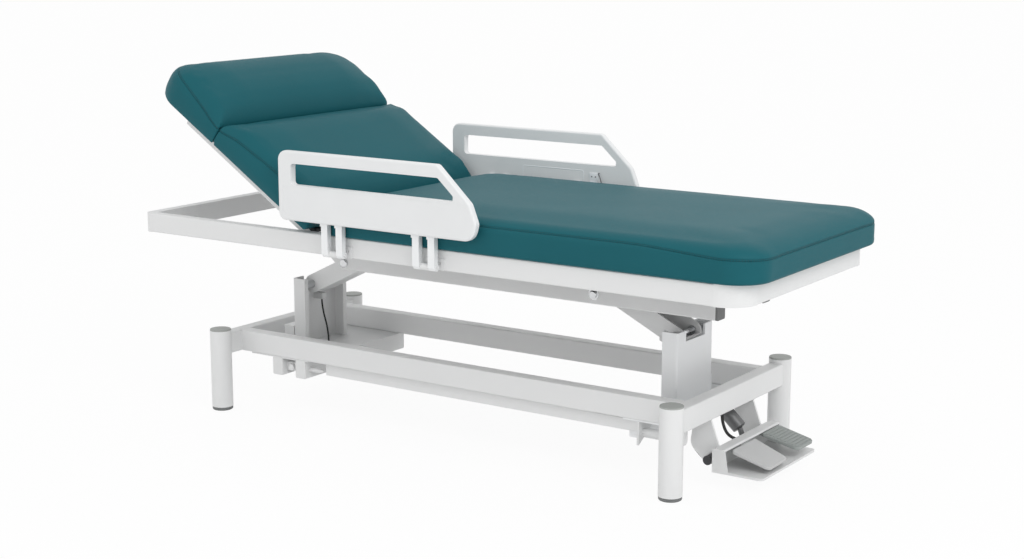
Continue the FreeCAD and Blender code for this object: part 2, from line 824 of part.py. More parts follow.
def build_backrest():
    half = back_tube_size / 2
    span = back_tube_half_span
    tube_wall = back_tube_wall
    tube = box_tube("yz", -span - half, -span + half, -half, half, -back_tube_length, half, tube_wall, 3.0)
    tube = tube.cut(rod(vec(0, -span - half - 1, 0), vec(0, -span + half + 1, 0), back_pin_radius + pin_clearance))
    side_tubes = both_sides(tube)
    inner = span - half
    crosses = []
    for s in back_cross_places:
        crosses.append(box_tube("xz", -s - half, -s + half, -half, half, -inner, inner, tube_wall, 3.0))
    add("backrest_frame", *[lift_back(s) for s in side_tubes + crosses])
    board = flat_slab(back_board_start, back_board_end, back_board_half_width, half, half + board_thickness, 20, 0)
    add("backrest_board", lift_back(board))
    low = half + board_thickness + soft_gap
    pad = flat_slab(back_cushion_start, pillow_start - part_gap, cushion_half_width, low,
                    low + cushion_thickness, 4, cushion_edge_radius)
    add("backrest_cushion", lift_back(pad))
    pillow = flat_slab(pillow_start, back_cushion_end, cushion_half_width, low,
                       low + cushion_thickness + pillow_extra, cushion_corner_radius, 2 * cushion_edge_radius)
    add("head_pillow", lift_back(pillow))
    outer = rail_inner_y
    inner = outer - hinge_plate_thickness
    reach = hinge_plate_length / 2
    plate = slab(rectangle(back_hinge_x - reach, back_hinge_x + reach, frame_bottom + 4, frame_top - 1, 10),
                 "xz", -outer, -inner)
    pin_end = -span + half + 2
    hinge = vec(back_hinge_x, 0, back_hinge_z)
    pin = rod(hinge + vec(0, -inner, 0), hinge + vec(0, pin_end, 0), back_pin_radius)
    head = rod(hinge + vec(0, pin_end, 0), hinge + vec(0, pin_end + back_pin_head_height, 0),
               back_pin_head_radius)
    spacer = pipe(hinge + vec(0, -inner, 0), hinge + vec(0, -span - half - moving_gap, 0),
                  back_pin_head_radius, back_pin_radius - 1)
    add("backrest_hinges", *both_sides(fuse_all([plate, pin, spacer, head])))


def lever_shape():
    """Lever welded under the backrest's cross tube, which the gas spring pushes, at rest."""
    hinge = vec(back_hinge_x, 0, back_hinge_z)
    end = spring_lever_point()
    inner = spring_half_gap
    outer = inner + spring_lever_thickness
    turn = math.radians(back_rest_angle)
    down = vec(-math.cos(turn), 0, math.sin(turn))
    normal = vec(math.sin(turn), 0, math.cos(turn))
    half = back_tube_size / 2
    face = hinge + down * (back_cross_places[0] - half)
    upper = face + normal * (half - 2)
    lower = face - normal * (half - 2)
    reach = spring_lever_round
    above = end + normal * (reach + 8) - down * reach
    corners = [(upper.x, upper.z, 0), (above.x, above.z, reach)]
    for along_way, across_way in ((-1, -1), (1, -1)):
        corner = end + down * (along_way * reach) + normal * (across_way * reach)
        corners.append((corner.x, corner.z, reach * 0.9))
    corners.append((lower.x, lower.z, 0))
    plate = slab(corners, "xz", inner, outer)
    pin = rod(vec(end.x, -outer, end.z), vec(end.x, outer, end.z), spring_pin_radius)
    return fuse_all([plate, mirror_y(plate), pin])


def build_gas_spring():
    end = spring_lever_point()
    anchor = spring_anchor_point()
    way = (end - anchor).normalize()
    side = vec(0, 1, 0)
    half = spring_half_gap - 3
    add("backrest_lever", lever_shape())
    inner = spring_half_gap
    outer = inner + spring_lever_thickness
    reach = spring_eye_radius
    corners = [(anchor.x - 18, frame_bottom, 0), (anchor.x - reach, anchor.z - reach, 9),
               (anchor.x + reach, anchor.z - reach, 9), (anchor.x + 18, frame_bottom, 0)]
    ear = slab(corners, "xz", inner, outer)
    pin = rod(vec(anchor.x, -outer, anchor.z), vec(anchor.x, outer, anchor.z), spring_pin_radius)
    add("gas_spring_anchor", fuse_all([ear, mirror_y(ear), pin]))
    eye = rod(anchor - side * half, anchor + side * half, reach)
    tube = rod(anchor + way * (reach - 2), anchor + way * spring_tube_end, spring_tube_radius)
    cylinder = tube.fuse(eye).cut(rod(anchor - side * half, anchor + side * half,
                                      spring_pin_radius + pin_clearance))
    bore_start = anchor + way * (reach + spring_end_wall)
    bore_end = anchor + way * (spring_tube_end - spring_end_wall)
    cylinder = cylinder.cut(rod(bore_start, bore_end, spring_tube_radius - spring_tube_wall))
    cylinder = cylinder.cut(rod(bore_start, anchor + way * (spring_tube_end + 1),
                                spring_rod_radius + pin_clearance))
    add("gas_spring_cylinder", cylinder.removeSplitter())
    start = anchor + way * spring_rod_inside
    stem = rod(start, end - way * (spring_open_eye_radius - 2), spring_rod_radius)
    piston = rod(start, start + way * spring_end_wall, spring_tube_radius - spring_tube_wall - moving_gap)
    ring = rod(end - side * half, end + side * half, spring_open_eye_radius)
    hole = rod(end - side * half, end + side * half, spring_open_eye_bore)
    add("gas_spring_rod", fuse_all([stem, piston, ring]).cut(hole))


def guard_panel():
    """Moulded guard at the front, with a long grip window and a bevelled foot end."""
    x0 = guard_head_x
    x1 = x0 + guard_length
    low = guard_bottom
    high = guard_top
    outer = -guard_inner_y - guard_thickness
    inner = -guard_inner_y
    round_end = guard_corner_radius
    corners = [(x0, low, round_end * 0.8), (x1 - guard_side_lean, low, round_end * 1.3),
               (x1, low + 44, 20), (x1 - 20, high - guard_bevel_end_drop, 20),
               (x0 + guard_bevel_start, high, 14), (x0, high, round_end)]
    panel = slab(corners, "xz", outer, inner)
    rims = [e for e in panel.Edges if e.BoundBox.YLength < 0.001]
    panel = panel.makeFillet(guard_edge_radius, rims)
    window_low = guard_window_bottom
    window_high = high - guard_top_bar
    start = x0 + guard_window_start
    end = x0 + guard_window_end
    window = slab([(start, window_low, guard_window_radius), (end + 2, window_low, 5),
                   (end + 4, window_low + 14, 8), (end - guard_window_lean, window_high, 8),
                   (start, window_high, guard_window_radius)], "xz", outer - 1, inner + 1)
    left = x0 + guard_pocket_margin
    right = x1 - guard_pocket_foot_margin
    bottom = low + guard_pocket_margin
    pocket = slab([(left, bottom, 12), (right, bottom, 24), (right, window_low - guard_pocket_drop, 8),
                   (left, window_low - guard_pocket_drop, 8)], "xz", outer - 1, outer + guard_pocket_depth)
    return panel.cut(window).cut(pocket)


def guard_bracket(centre):
    """Two posts on one moving barrel, for one bracket of the front guard."""
    x0 = centre - guard_bracket_length / 2
    x1 = centre + guard_bracket_length / 2
    y1 = -guard_inner_y + soft_gap + guard_post_thickness
    y0 = -guard_inner_y + soft_gap
    posts = []
    for a, b in ((x0, x0 + guard_post_width), (x1 - guard_post_width, x1)):
        post = slab(rectangle(a, b, guard_axis_z, guard_post_top, 0.0), "xz", y0, y1)
        top = [e for e in post.Edges if e.BoundBox.ZMin > guard_post_top - 0.001 and e.BoundBox.XLength < 0.001]
        post = post.makeFillet(8, top)
        axis = vec(a, -guard_axis_y, guard_axis_z)
        barrel = rod(axis, axis + vec(b - a, 0, 0), guard_barrel_radius)
        high = guard_bottom - soft_gap
        lower = block(a, b, -guard_post_outer_y, y0 + 1, guard_axis_z, high)
        cap = block(a - guard_cap_margin, b + guard_cap_margin, -guard_post_outer_y - guard_cap_margin, y0 + 1,
                    high - guard_cap_height, high)
        body = fuse_all([post, barrel, lower, cap])
        bore = rod(axis - vec(1, 0, 0), axis + vec(b - a + 1, 0, 0), guard_pin_radius + pin_clearance)
        body = body.cut(bore).removeSplitter()
        for z in (guard_post_top - 8, guard_post_top - 20):
            spot = vec((a + b) / 2, y1, z)
            body = body.fuse(rod(spot, spot + vec(0, guard_screw_height, 0), guard_screw_radius))
        posts.append(body)
    return posts


def guard_fixed(centre):
    """Plate with the fixed knuckle on the front rail, for one guard bracket."""
    x0 = centre - guard_bracket_length / 2 + guard_post_width + moving_gap
    x1 = centre + guard_bracket_length / 2 - guard_post_width - moving_gap
    face = -frame_half_width
    tail = centre + guard_bracket_length / 2 + guard_plate_tail
    low = guard_axis_z - 8
    high = guard_axis_z + guard_plate_half_height + 8
    plate = slab([(x0, low, 0), (tail, low, 4), (tail, high, 4), (x0, high, 0)],
                 "xz", face - guard_plate_thickness, face)
    axis = vec(x0, -guard_axis_y, guard_axis_z)
    knuckle = rod(axis, axis + vec(x1 - x0, 0, 0), guard_barrel_radius)
    neck = block(x0, x1, -guard_axis_y, face, guard_axis_z - 5, guard_axis_z + 5)
    body = fuse_all([plate, neck, knuckle])
    body = body.cut(rod(axis - vec(1, 0, 0), axis + vec(x1 - x0 + 1, 0, 0), guard_pin_radius + curved_gap))
    hole = vec(tail - 14, face + 1, guard_axis_z + 10)
    return body.cut(rod(hole, hole - vec(0, guard_plate_thickness + 2, 0), guard_plate_hole_radius))


def guard_pin(centre):
    x0 = centre - guard_bracket_length / 2 - 3
    x1 = centre + guard_bracket_length / 2 + 3
    y = -guard_axis_y
    return rod(vec(x0, y, guard_axis_z), vec(x1, y, guard_axis_z), guard_pin_radius)


def build_guards():
    panel = guard_panel()
    posts = []
    fixed = []
    pins = []
    for centre in guard_bracket_places:
        posts.extend(guard_bracket(centre))
        fixed.append(guard_fixed(centre))
        pins.append(guard_pin(centre))
    add("guard_front_panel", panel)
    add("guard_front_posts", *posts)
    add("guard_back_panel", mirror_y(panel))
    add("guard_back_posts", *[mirror_y(s) for s in posts])
    add("guard_hinge_plates", *(fixed + pins + [mirror_y(s) for s in fixed + pins]))


def build_tie_bar():
    """Flat bar under the front rail with its end plate, tube and locating pin."""
    top = base_rail_bottom
    y0 = -tie_bar_front_y
    y1 = y0 + tie_bar_thickness
    pan_end = base_centre_x + pan_inner_reach
    pan_start = base_centre_x - pan_inner_reach
    bar = block(tie_bar_head_x, tie_bar_foot_x, y0, y1, top - tie_bar_height, top)
    bar = bar.cut(block(pan_end - moving_gap, tie_bar_foot_x + 1, y0 - 1, y1 + 1, pan_bottom - moving_gap, top + 1))
    add("front_tie_bar", bar)
    plate_start = tie_bar_foot_x
    plate_end = plate_start + tie_plate_thickness
    back = -side_rail_outer_y + tie_plate_depth
    corners = [(-side_rail_outer_y, pan_bottom, 0), (back, pan_bottom, 0), (back, pan_bottom - 18, 0),
               (-side_rail_outer_y, pan_bottom - tie_plate_height, 0)]
    plate = slab(corners, "yz", plate_start, plate_end)
    bracket = plate
    tube = pipe(vec(plate_end, -tie_tube_y, tie_tube_z), vec(tie_tube_foot_x, -tie_tube_y, tie_tube_z),
                tie_tube_radius, tie_tube_radius - tie_tube_wall)
    side = tie_hanger_half_width
    left = -tie_tube_y - side
    right = -tie_tube_y + side
    low = tie_tube_z - side
    corners = [(left, top, 0), (right, top, 0), (right, low, tie_hanger_round), (left, low, tie_hanger_round)]
    hanger_end = tie_tube_foot_x + tie_hanger_thickness
    plate = slab(corners, "yz", tie_tube_foot_x, hanger_end)
    flange = block(foot_rail_x - base_rail_width / 2, hanger_end, left, right, top - tie_flange_thickness, top)
    hanger = plate.fuse(flange)
    add("tie_bar_end", bracket, fuse_all([tube, hanger]))
    cross_x = base_centre_x - cross_tube_reach[0] + cross_tube_width / 2
    pin_z = pan_bottom - cross_tube_height / 2
    start = vec(cross_x, -tie_tube_y, pin_z)
    shank = rod(start, start + vec(tie_pin_length * 0.6, 0, 0), tie_pin_radius)
    tip = Part.makeCone(tie_pin_radius, tie_pin_radius * 0.4, tie_pin_length * 0.4,
                        start + vec(tie_pin_length * 0.6, 0, 0), vec(1, 0, 0))
    middle = base_centre_x - (cross_tube_reach[0] + cross_tube_reach[1]) / 2
    gap = (cross_tube_reach[1] - cross_tube_reach[0] - cross_tube_width) / 2
    face = -tie_tube_y - tie_spacer_half_width
    spacer = block(middle - gap, middle + gap, face, -tie_tube_y + tie_spacer_half_width,
                   pin_z - tie_spacer_half_height, pin_z + tie_spacer_half_height)
    bolt_start = vec(middle, face, pin_z)
    bolt = rod(bolt_start, bolt_start - vec(0, tie_bolt_height, 0), hanger_bolt_radius)
    add("locating_pin", fuse_all([shank, tip]), fuse_all([spacer, bolt]))


def build_foot_control():
    top = base_rail_bottom
    bar = vec(foot_bar_x, 0, foot_bar_height)
    low = bar.z - foot_bar_radius - hanger_lip
    corners = [(foot_rail_x - hanger_top_in, top, 0), (foot_rail_x + hanger_top_out, top, 0),
               (tray_rear_x, bar.z + hanger_nose_height, hanger_nose_radius),
               (tray_rear_x, low + hanger_nose_lift, hanger_toe_radius),
               (bar.x - hanger_heel_radius, low, hanger_heel_radius),
               (foot_rail_x - hanger_back_in, bar.z + hanger_back_height, hanger_back_radius)]
    plate = slab(corners, "xz", hanger_inner_y, hanger_inner_y + hanger_thickness)
    half = vec(0, foot_bar_half_length + moving_gap, 0)
    hole = rod(bar - half, bar + half, foot_bar_radius + curved_gap)
    add("pedal_hangers", *both_sides(plate.cut(hole)))
    add("foot_bar", rod(bar - vec(0, foot_bar_half_length, 0), bar + vec(0, foot_bar_half_length, 0),
                        foot_bar_radius))
    add("pedal_tray", tray_shape())
    pin_start = vec(pedal_hinge_x, -tray_half_width + tray_wall, pedal_hinge_height)
    pin_end = vec(pedal_hinge_x, tray_half_width - tray_wall, pedal_hinge_height)
    add("pedal_pin", rod(pin_start, pin_end, pedal_pin_radius))
    add("raise_pedal", ribbed_pedal())
    add("lower_pedal", pedal_shape(lower_pedal_centre_y, lower_pedal_width, lower_pedal_slope,
                                   lower_pedal_front_ratio))


def tray_shape():
    """Tray with a rear housing that is open towards the pedals."""
    wide = tray_half_width
    x0 = tray_rear_x
    x1 = x0 + tray_depth
    low = tray_bottom
    floor = block(x0, x1, -wide, wide, low, low + tray_plate)
    upright = [e for e in floor.Edges if e.BoundBox.ZLength > tray_plate - 0.01 and e.BoundBox.XMin > x1 - 0.01]
    floor = floor.makeFillet(12, upright)
    high = low + tray_housing_height
    front = x0 + tray_housing_depth
    side = [(x0, low, 0), (front + 10, low, 0), (front, high, 6), (x0, high, 6)]
    housing = slab(side, "xz", -wide, wide)
    ceiling = high - tray_wall
    inner = [(x0 + tray_wall, low - 1, 0), (x1, low - 1, 0), (x1, ceiling, 0), (x0 + tray_wall, ceiling, 2)]
    space = slab(inner, "xz", -wide + tray_wall, wide - tray_wall)
    return fuse_all([housing.cut(space), floor])


def pedal_shape(centre_y, width, slope, front_ratio):
    """Pedal plate that slopes down from its hinge lug, narrower at the toe."""
    half = width / 2
    start = tray_housing_depth - pedal_hinge_in + 3
    end = start + pedal_length
    toe = half * front_ratio
    corners = [(start, -half, 8), (end, -toe, 14), (end, toe, 14), (start, half, 8)]
    top = pedal_lift + pedal_thickness
    plate = slab(corners, "xy", pedal_lift, top)
    rims = [e for e in plate.Edges if e.BoundBox.ZMin > top - 0.001]
    plate = plate.makeFillet(3, rims)
    lug_half = pedal_lug_width / 2
    arm = block(0, start + 12, -lug_half, lug_half, -5, 5)
    riser = block(start + 1, start + 12, -lug_half, lug_half, 4, pedal_lift + 1)
    lug = rod(vec(0, -lug_half, 0), vec(0, lug_half, 0), pedal_lug_radius)
    pedal = fuse_all([plate, arm, riser, lug])
    pedal = pedal.cut(rod(vec(0, -lug_half - 1, 0), vec(0, lug_half + 1, 0), pedal_pin_radius + pin_clearance))
    pedal.rotate(vec(0, 0, 0), vec(0, 1, 0), slope)
    pedal.translate(vec(pedal_hinge_x, centre_y, pedal_hinge_height))
    return pedal


def ribbed_pedal():
    pedal = pedal_shape(raise_pedal_centre_y, raise_pedal_width, raise_pedal_slope, raise_pedal_front_ratio)
    half = raise_pedal_width / 2
    start = tray_housing_depth - pedal_hinge_in + 3
    step = pedal_length / (pedal_rib_count + 1)
    top = pedal_lift + pedal_thickness
    ribs = []
    for i in range(1, pedal_rib_count + 1):
        x = start + i * step
        rib = block(x - step * 0.28, x + step * 0.28, -half * 0.84, half * 0.84, top - 1, top + pedal_rib_height)
        rib.rotate(vec(0, 0, 0), vec(0, 1, 0), raise_pedal_slope)
        rib.translate(vec(pedal_hinge_x, raise_pedal_centre_y, pedal_hinge_height))
        ribs.append(rib)
    return fuse_all([pedal] + ribs)


def build_pump():
    """Pump cylinder slung between the hangers, with its rod eye round the foot bar."""
    bar = vec(foot_bar_x, pump_y, foot_bar_height)
    top = bar + vec(pump_top_offset[0], 0, pump_top_offset[1])
    bottom = bar + vec(pump_bottom_offset[0], 0, pump_bottom_offset[1])
    half = vec(0, pump_eye_half_width, 0)
    body = rod(top, bottom, pump_radius)
    rims = [e for e in body.Edges if len(e.Vertexes) == 1]
    body = body.makeFillet(3, rims)
    stem = rod(bottom, bar, pump_rod_radius)
    eye = rod(bar - half, bar + half, pump_eye_radius)
    pump = fuse_all([body, stem, eye])
    add("pump_cylinder", pump.cut(rod(bar - half * 3, bar + half * 3, foot_bar_radius + curved_gap)))


def cord_path(points, radius):
    """Tube along straight runs joined by tangent arcs as large as the runs allow."""
    edges = []
    start = points[0]
    for i in range(1, len(points) - 1):
        here = points[i]
        back = points[i - 1] - here
        ahead = points[i + 1] - here
        turn = math.pi - back.getAngle(ahead)
        arc_radius = 0.45 * min(back.Length, ahead.Length) / math.tan(turn / 2)
        back.normalize()
        ahead.normalize()
        reach = arc_radius * math.tan(turn / 2)
        first = here + back * reach
        last = here + ahead * reach
        inward = (back + ahead).normalize()
        middle = here + inward * (arc_radius / math.cos(turn / 2) - arc_radius)
        edges.append(Part.LineSegment(start, first).toShape())
        edges.append(Part.Arc(first, middle, last).toShape())
        start = last
    edges.append(Part.LineSegment(start, points[-1]).toShape())
    wire = Part.Wire(edges)
    way = (points[1] - points[0]).normalize()
    circle = Part.Wire(Part.makeCircle(radius, points[0], way))
    return wire.makePipeShell([circle], True, False)


def build_hoses():
    """Pressure hose from the foot rail to the tray, and the thin hose in the head column."""
    top = base_rail_bottom
    x = foot_rail_x - hose_set_in
    z = top - hose_fitting_length
    fitting = rod(vec(x, hose_y, top), vec(x, hose_y, z), hose_fitting_radius)
    goal_z = tray_bottom + tray_housing_height - hose_entry_drop
    points = [vec(x, hose_y, z), vec(x, hose_y, z - hose_lead), vec(x + hose_bend_reach, hose_y, goal_z),
              vec(tray_rear_x, hose_y, goal_z)]
    add("pump_hose", cord_path(points, hose_radius), fitting)
    outer = base_centre_x - column_outer_reach + column_wall
    half = valve_size / 2
    low = base_rail_bottom
    valve_z = low + valve_level
    valve_x = outer + valve_reach
    add("limit_valve", block(outer, valve_x + half, -half, half, valve_z - half, valve_z + half))
    start = vec(valve_x, 0, valve_z - half)
    end_x = valve_x + head_hose_reach
    points = [start, start - vec(0, 0, hose_lead), vec(end_x, 0, low + head_hose_rise), vec(end_x, 0, low)]
    add("head_hose", cord_path(points, head_hose_radius))


def export_nodes():
    os.makedirs("parts", exist_ok=True)
    for name, solids in nodes.items():
        shape = solids[0] if len(solids) == 1 else Part.makeCompound(solids)
        shape.exportStep("parts/" + name + ".step")
    print(len(nodes), "nodes,", sum(len(s) for s in nodes.values()), "solids")


def main():
    build_legs()
    build_base_rails()
    build_pan("head")
    build_pan("foot")
    build_columns()
    build_arms()
    build_ram()
    build_top_frame()
    build_sub_rails()
    build_seat()
    build_backrest()
    build_gas_spring()
    build_guards()
    build_tie_bar()
    build_foot_control()
    build_pump()
    build_hoses()
    export_nodes()


main()
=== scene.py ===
"""Looks of the examination table, laid out as an add-on and run as a script."""

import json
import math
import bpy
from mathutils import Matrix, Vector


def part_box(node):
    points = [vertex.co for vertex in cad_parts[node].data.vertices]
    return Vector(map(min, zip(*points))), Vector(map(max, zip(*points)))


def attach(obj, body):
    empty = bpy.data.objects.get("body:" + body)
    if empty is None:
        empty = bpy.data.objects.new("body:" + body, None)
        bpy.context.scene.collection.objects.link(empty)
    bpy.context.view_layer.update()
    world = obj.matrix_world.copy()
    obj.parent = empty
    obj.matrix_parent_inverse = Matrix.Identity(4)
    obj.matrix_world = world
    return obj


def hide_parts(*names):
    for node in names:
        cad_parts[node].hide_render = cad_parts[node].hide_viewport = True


bl_info = {
    "name": "Examination table",
    "version": (1, 0, 0),
    "blender": (4, 5, 0),
    "location": "3D View > Sidebar > Table",
    "description": "Dresses the packed frame of an examination table",
    "category": "Object",
}

import bmesh
import bpy
from bpy.props import FloatProperty, FloatVectorProperty, PointerProperty
from mathutils import Matrix, Vector, kdtree, noise

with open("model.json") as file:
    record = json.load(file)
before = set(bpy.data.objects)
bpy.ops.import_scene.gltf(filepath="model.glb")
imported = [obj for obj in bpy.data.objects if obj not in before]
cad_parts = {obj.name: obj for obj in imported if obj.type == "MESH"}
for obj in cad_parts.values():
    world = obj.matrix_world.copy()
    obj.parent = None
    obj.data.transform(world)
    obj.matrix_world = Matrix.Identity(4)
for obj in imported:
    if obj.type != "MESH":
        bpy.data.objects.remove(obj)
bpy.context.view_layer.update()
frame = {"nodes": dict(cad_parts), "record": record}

MM = 0.001

# Camera worked out from the photograph, which is 1024 pixels wide
CAMERA_PLACE = (2.71067, -3.92041, 1.37070)
CAMERA_AZIMUTH = 34.07
CAMERA_ELEVATION = 11.36
CAMERA_ROLL = 0.02
CAMERA_LENS = 62.338
SENSOR_WIDTH = 36.0

# Backrest hinge, rest angle and the level on which its cushions lie, as in the solids
HINGE = (-0.362, 0.0, 0.5355)
BACK_ANGLE = 33.0
PAD_BASE = 24.8 * MM

# Points of a copied solid that lie nearer than this are one point
WELD = 0.00001

# Angle at which each corner's arc begins, going round from the corner with the lowest values
ARC_STARTS = (180, 270, 0, 90)

WHITE = (1.0, 1.0, 1.0, 1.0)

# Routes of the two hoses, as in the solids
PUMP_HOSE_ROUTE = ((0.710, -0.006, 0.148), (0.710, -0.006, 0.122), (0.731546, -0.006, 0.085),
                   (0.7613, -0.006, 0.085))
PUMP_HOSE_DIAMETER = 0.008
HEAD_HOSE_ROUTE = ((-0.617, 0.0, 0.287), (-0.617, 0.0, 0.261), (-0.594, 0.0, 0.192), (-0.594, 0.0, 0.162))
HEAD_HOSE_DIAMETER = 0.005


def colour(name, description, default):
    return FloatVectorProperty(name=name, description=description, subtype="COLOR", size=3, min=0.0, max=1.0,
                               default=default)


def length(name, description, default):
    return FloatProperty(name=name, description=description, unit="LENGTH", default=default, min=0.0)


class TableColours(bpy.types.PropertyGroup):
    """Colours of the table's finishes."""

    powder_coat: colour("Powder coat", "White coat of the steel frame", (0.76, 0.765, 0.765))
    vinyl: colour("Vinyl", "Upholstery of the cushions", (0.013, 0.115, 0.139))
    vinyl_shade: colour("Vinyl shade", "Darker patches of the upholstery", (0.011, 0.098, 0.119))
    thread: colour("Thread", "Stitching of the seams", (0.006, 0.030, 0.038))
    guard_plastic: colour("Guard plastic", "Moulded side guards", (0.80, 0.81, 0.815))
    cap_plastic: colour("Cap plastic", "Leg caps", (0.36, 0.375, 0.36))
    tray_plastic: colour("Tray plastic", "Tray of the pedals", (0.72, 0.725, 0.725))
    raise_plastic: colour("Raising pedal", "Ribbed pedal", (0.29, 0.315, 0.305))
    lower_plastic: colour("Lowering pedal", "Smooth pedal", (0.50, 0.505, 0.505))
    plug_plastic: colour("Plug plastic", "End plugs and bushes", (0.16, 0.165, 0.165))
    glide_rubber: colour("Glide rubber", "Feet under the legs", (0.12, 0.125, 0.125))
    black_rubber: colour("Black rubber", "Hoses and edging", (0.012, 0.012, 0.013))
    lining: colour("Lining", "Boards under the cushions", (0.03, 0.032, 0.034))


class TableCushions(bpy.types.PropertyGroup):
    """Shape of the cushions."""

    seam_level: length("Seam level", "Height of the sewn edge above a cushion's underside", 0.060)
    seat_rise: length("Seat roll", "Height of the seat's rolled edge", 0.030)
    back_rise: length("Backrest roll", "Height of the backrest cushion's rolled edge", 0.036)
    pillow_rise: length("Pillow roll", "Height of the head pillow's rolled edge", 0.042)
    seat_crown: length("Seat crown", "Rise of the seat's top above its rolled edge", 0.010)
    back_crown: length("Back crown", "Rise of the backrest cushion above its rolled edge", 0.014)
    pillow_crown: length("Pillow crown", "Rise of the head pillow above its rolled edge", 0.022)
    seam_depth: length("Seam depth", "Depth of the sewn groove", 0.0024)
    twin_gap: length("Twin gap", "Distance between the two rows of the seam", 0.0045)
    pucker_depth: length("Pucker depth", "Depth of the gathers at the corners", 0.0011)
    stitch_pitch: length("Stitch pitch", "Distance from stitch to stitch", 0.0070)
    stitch_length: length("Stitch length", "Length of one stitch", 0.0042)
    stitch_width: length("Stitch width", "Thickness of the thread", 0.0011)
    swell_cap: length("Swell cap", "How far the padding may push a cushion's skin out", 0.0035)


class TableStage(bpy.types.PropertyGroup):
    """Floor, lamps and world."""

    floor_size: length("Floor size", "Side of the square floor", 160.0)
    world_strength: FloatProperty(name="World strength", description="Light from all around", default=0.86)
    key_power: FloatProperty(name="Key lamp", description="Power of the main lamp", unit="POWER",
                             default=60.0)
    fill_power: FloatProperty(name="Fill lamp", description="Power of the soft lamp", unit="POWER",
                              default=10.0)


class TableSettings(bpy.types.PropertyGroup):
    """All settings of the table."""

    colours: PointerProperty(type=TableColours)
    cushions: PointerProperty(type=TableCushions)
    stage: PointerProperty(type=TableStage)


class Value:
    """A number that varies over a surface. Sums and products of values add Math nodes."""

    def __init__(self, finish, socket):
        self.finish = finish
        self.socket = socket

    def join(self, operation, first, second):
        node = self.finish.node("ShaderNodeMath", {"operation": operation}, {0: first, 1: second})
        return Value(self.finish, node.outputs[0])

    def __add__(self, other):
        return self.join("ADD", self, other)

    def __radd__(self, other):
        return self.join("ADD", other, self)

    def __sub__(self, other):
        return self.join("SUBTRACT", self, other)

    def __mul__(self, other):
        return self.join("MULTIPLY", self, other)

    def __rmul__(self, other):
        return self.join("MULTIPLY", other, self)


class Finish:
    """One material, with its nodes made by a single method."""

    def __init__(self, name):
        self.material = bpy.data.materials.new(name)
        self.material.use_nodes = True
        self.tree = self.material.node_tree
        self.shader = self.tree.nodes["Principled BSDF"]
        self.place = self.node("ShaderNodeTexCoord").outputs["Object"]

    @classmethod
    def of_world(cls, world):
        """The same tools on a world's nodes."""
        finish = cls.__new__(cls)
        world.use_nodes = True
        finish.tree = world.node_tree
        finish.tree.nodes.clear()
        return finish

    def node(self, kind, settings=None, sockets=None):
        node = self.tree.nodes.new(kind)
        for key, value in (settings or {}).items():
            if key == "stops":
                for i, (position, tone) in enumerate(value):
                    stop = node.color_ramp.elements[i] if i < 2 else node.color_ramp.elements.new(position)
                    stop.position = position
                    stop.color = (tone, tone, tone, 1.0)
            else:
                setattr(node, key, value)
        for key, value in (sockets or {}).items():
            self.feed(node.inputs[key], value)
        return node

    def feed(self, socket, value):
        if isinstance(value, Value):
            value = value.socket
        if isinstance(value, bpy.types.NodeSocket):
            self.tree.links.new(value, socket)
        else:
            socket.default_value = value

    def seen_directly(self):
        """One for camera rays and for what glossy and clear things show."""
        path = self.node("ShaderNodeLightPath")
        seen = Value(self, path.outputs["Is Camera Ray"])
        for ray in ("Is Glossy Ray", "Is Transmission Ray"):
            seen = seen.join("MAXIMUM", seen, path.outputs[ray])
        return seen

    def stretched(self, scale):
        """Coordinates scaled differently along each axis."""
        return self.node("ShaderNodeMapping", None, {"Vector": self.place, "Scale": scale}).outputs[0]

    def clouds(self, scale, detail=2.0, place=None):
        node = self.node("ShaderNodeTexNoise", None,
                         {"Vector": place or self.place, "Scale": scale, "Detail": detail, "Roughness": 0.5})
        return Value(self, node.outputs["Fac"])

    def cells(self, scale):
        node = self.node("ShaderNodeTexVoronoi", {"feature": "DISTANCE_TO_EDGE"},
                         {"Vector": self.place, "Scale": scale})
        return Value(self, node.outputs["Distance"])

    def ramp(self, value, stops):
        node = self.node("ShaderNodeValToRGB", {"stops": stops}, {"Fac": value})
        return Value(self, node.outputs["Color"])

    def blend(self, factor, first, second):
        node = self.node("ShaderNodeMix", {"data_type": "RGBA"},
                         {0: factor, 6: (*first, 1.0), 7: (*second, 1.0)})
        return node.outputs[2]

    def paint(self, factor, first, second):
        self.feed(self.shader.inputs["Base Color"], self.blend(factor, first, second))

    def rough(self, value):
        self.feed(self.shader.inputs["Roughness"], value)

    def relief(self, height, distance, strength):
        bump = self.node("ShaderNodeBump", None,
                         {"Height": height, "Distance": distance, "Strength": strength})
        self.feed(self.shader.inputs["Normal"], bump.outputs["Normal"])

    def fix(self, **values):
        """Constant sockets of the shader, by name with spaces for underscores."""
        for key, value in values.items():
            self.shader.inputs[key.replace("_", " ")].default_value = value


def shade(tone, factor):
    return tuple(c * factor for c in tone)


def coated_steel(name, tone):
    """Powder coat: a fine orange peel and a very even colour."""
    finish = Finish(name)
    broad = finish.clouds(4.0, detail=3.0)
    peel = finish.clouds(520.0)
    finish.paint(broad, shade(tone, 0.975), shade(tone, 1.015))
    finish.rough(0.36 + 0.10 * finish.clouds(60.0) + 0.04 * peel)
    finish.relief(peel + 0.3 * finish.clouds(1400.0), distance=0.00012, strength=0.5)
    finish.fix(Specular_IOR_Level=0.5)
    return finish.material


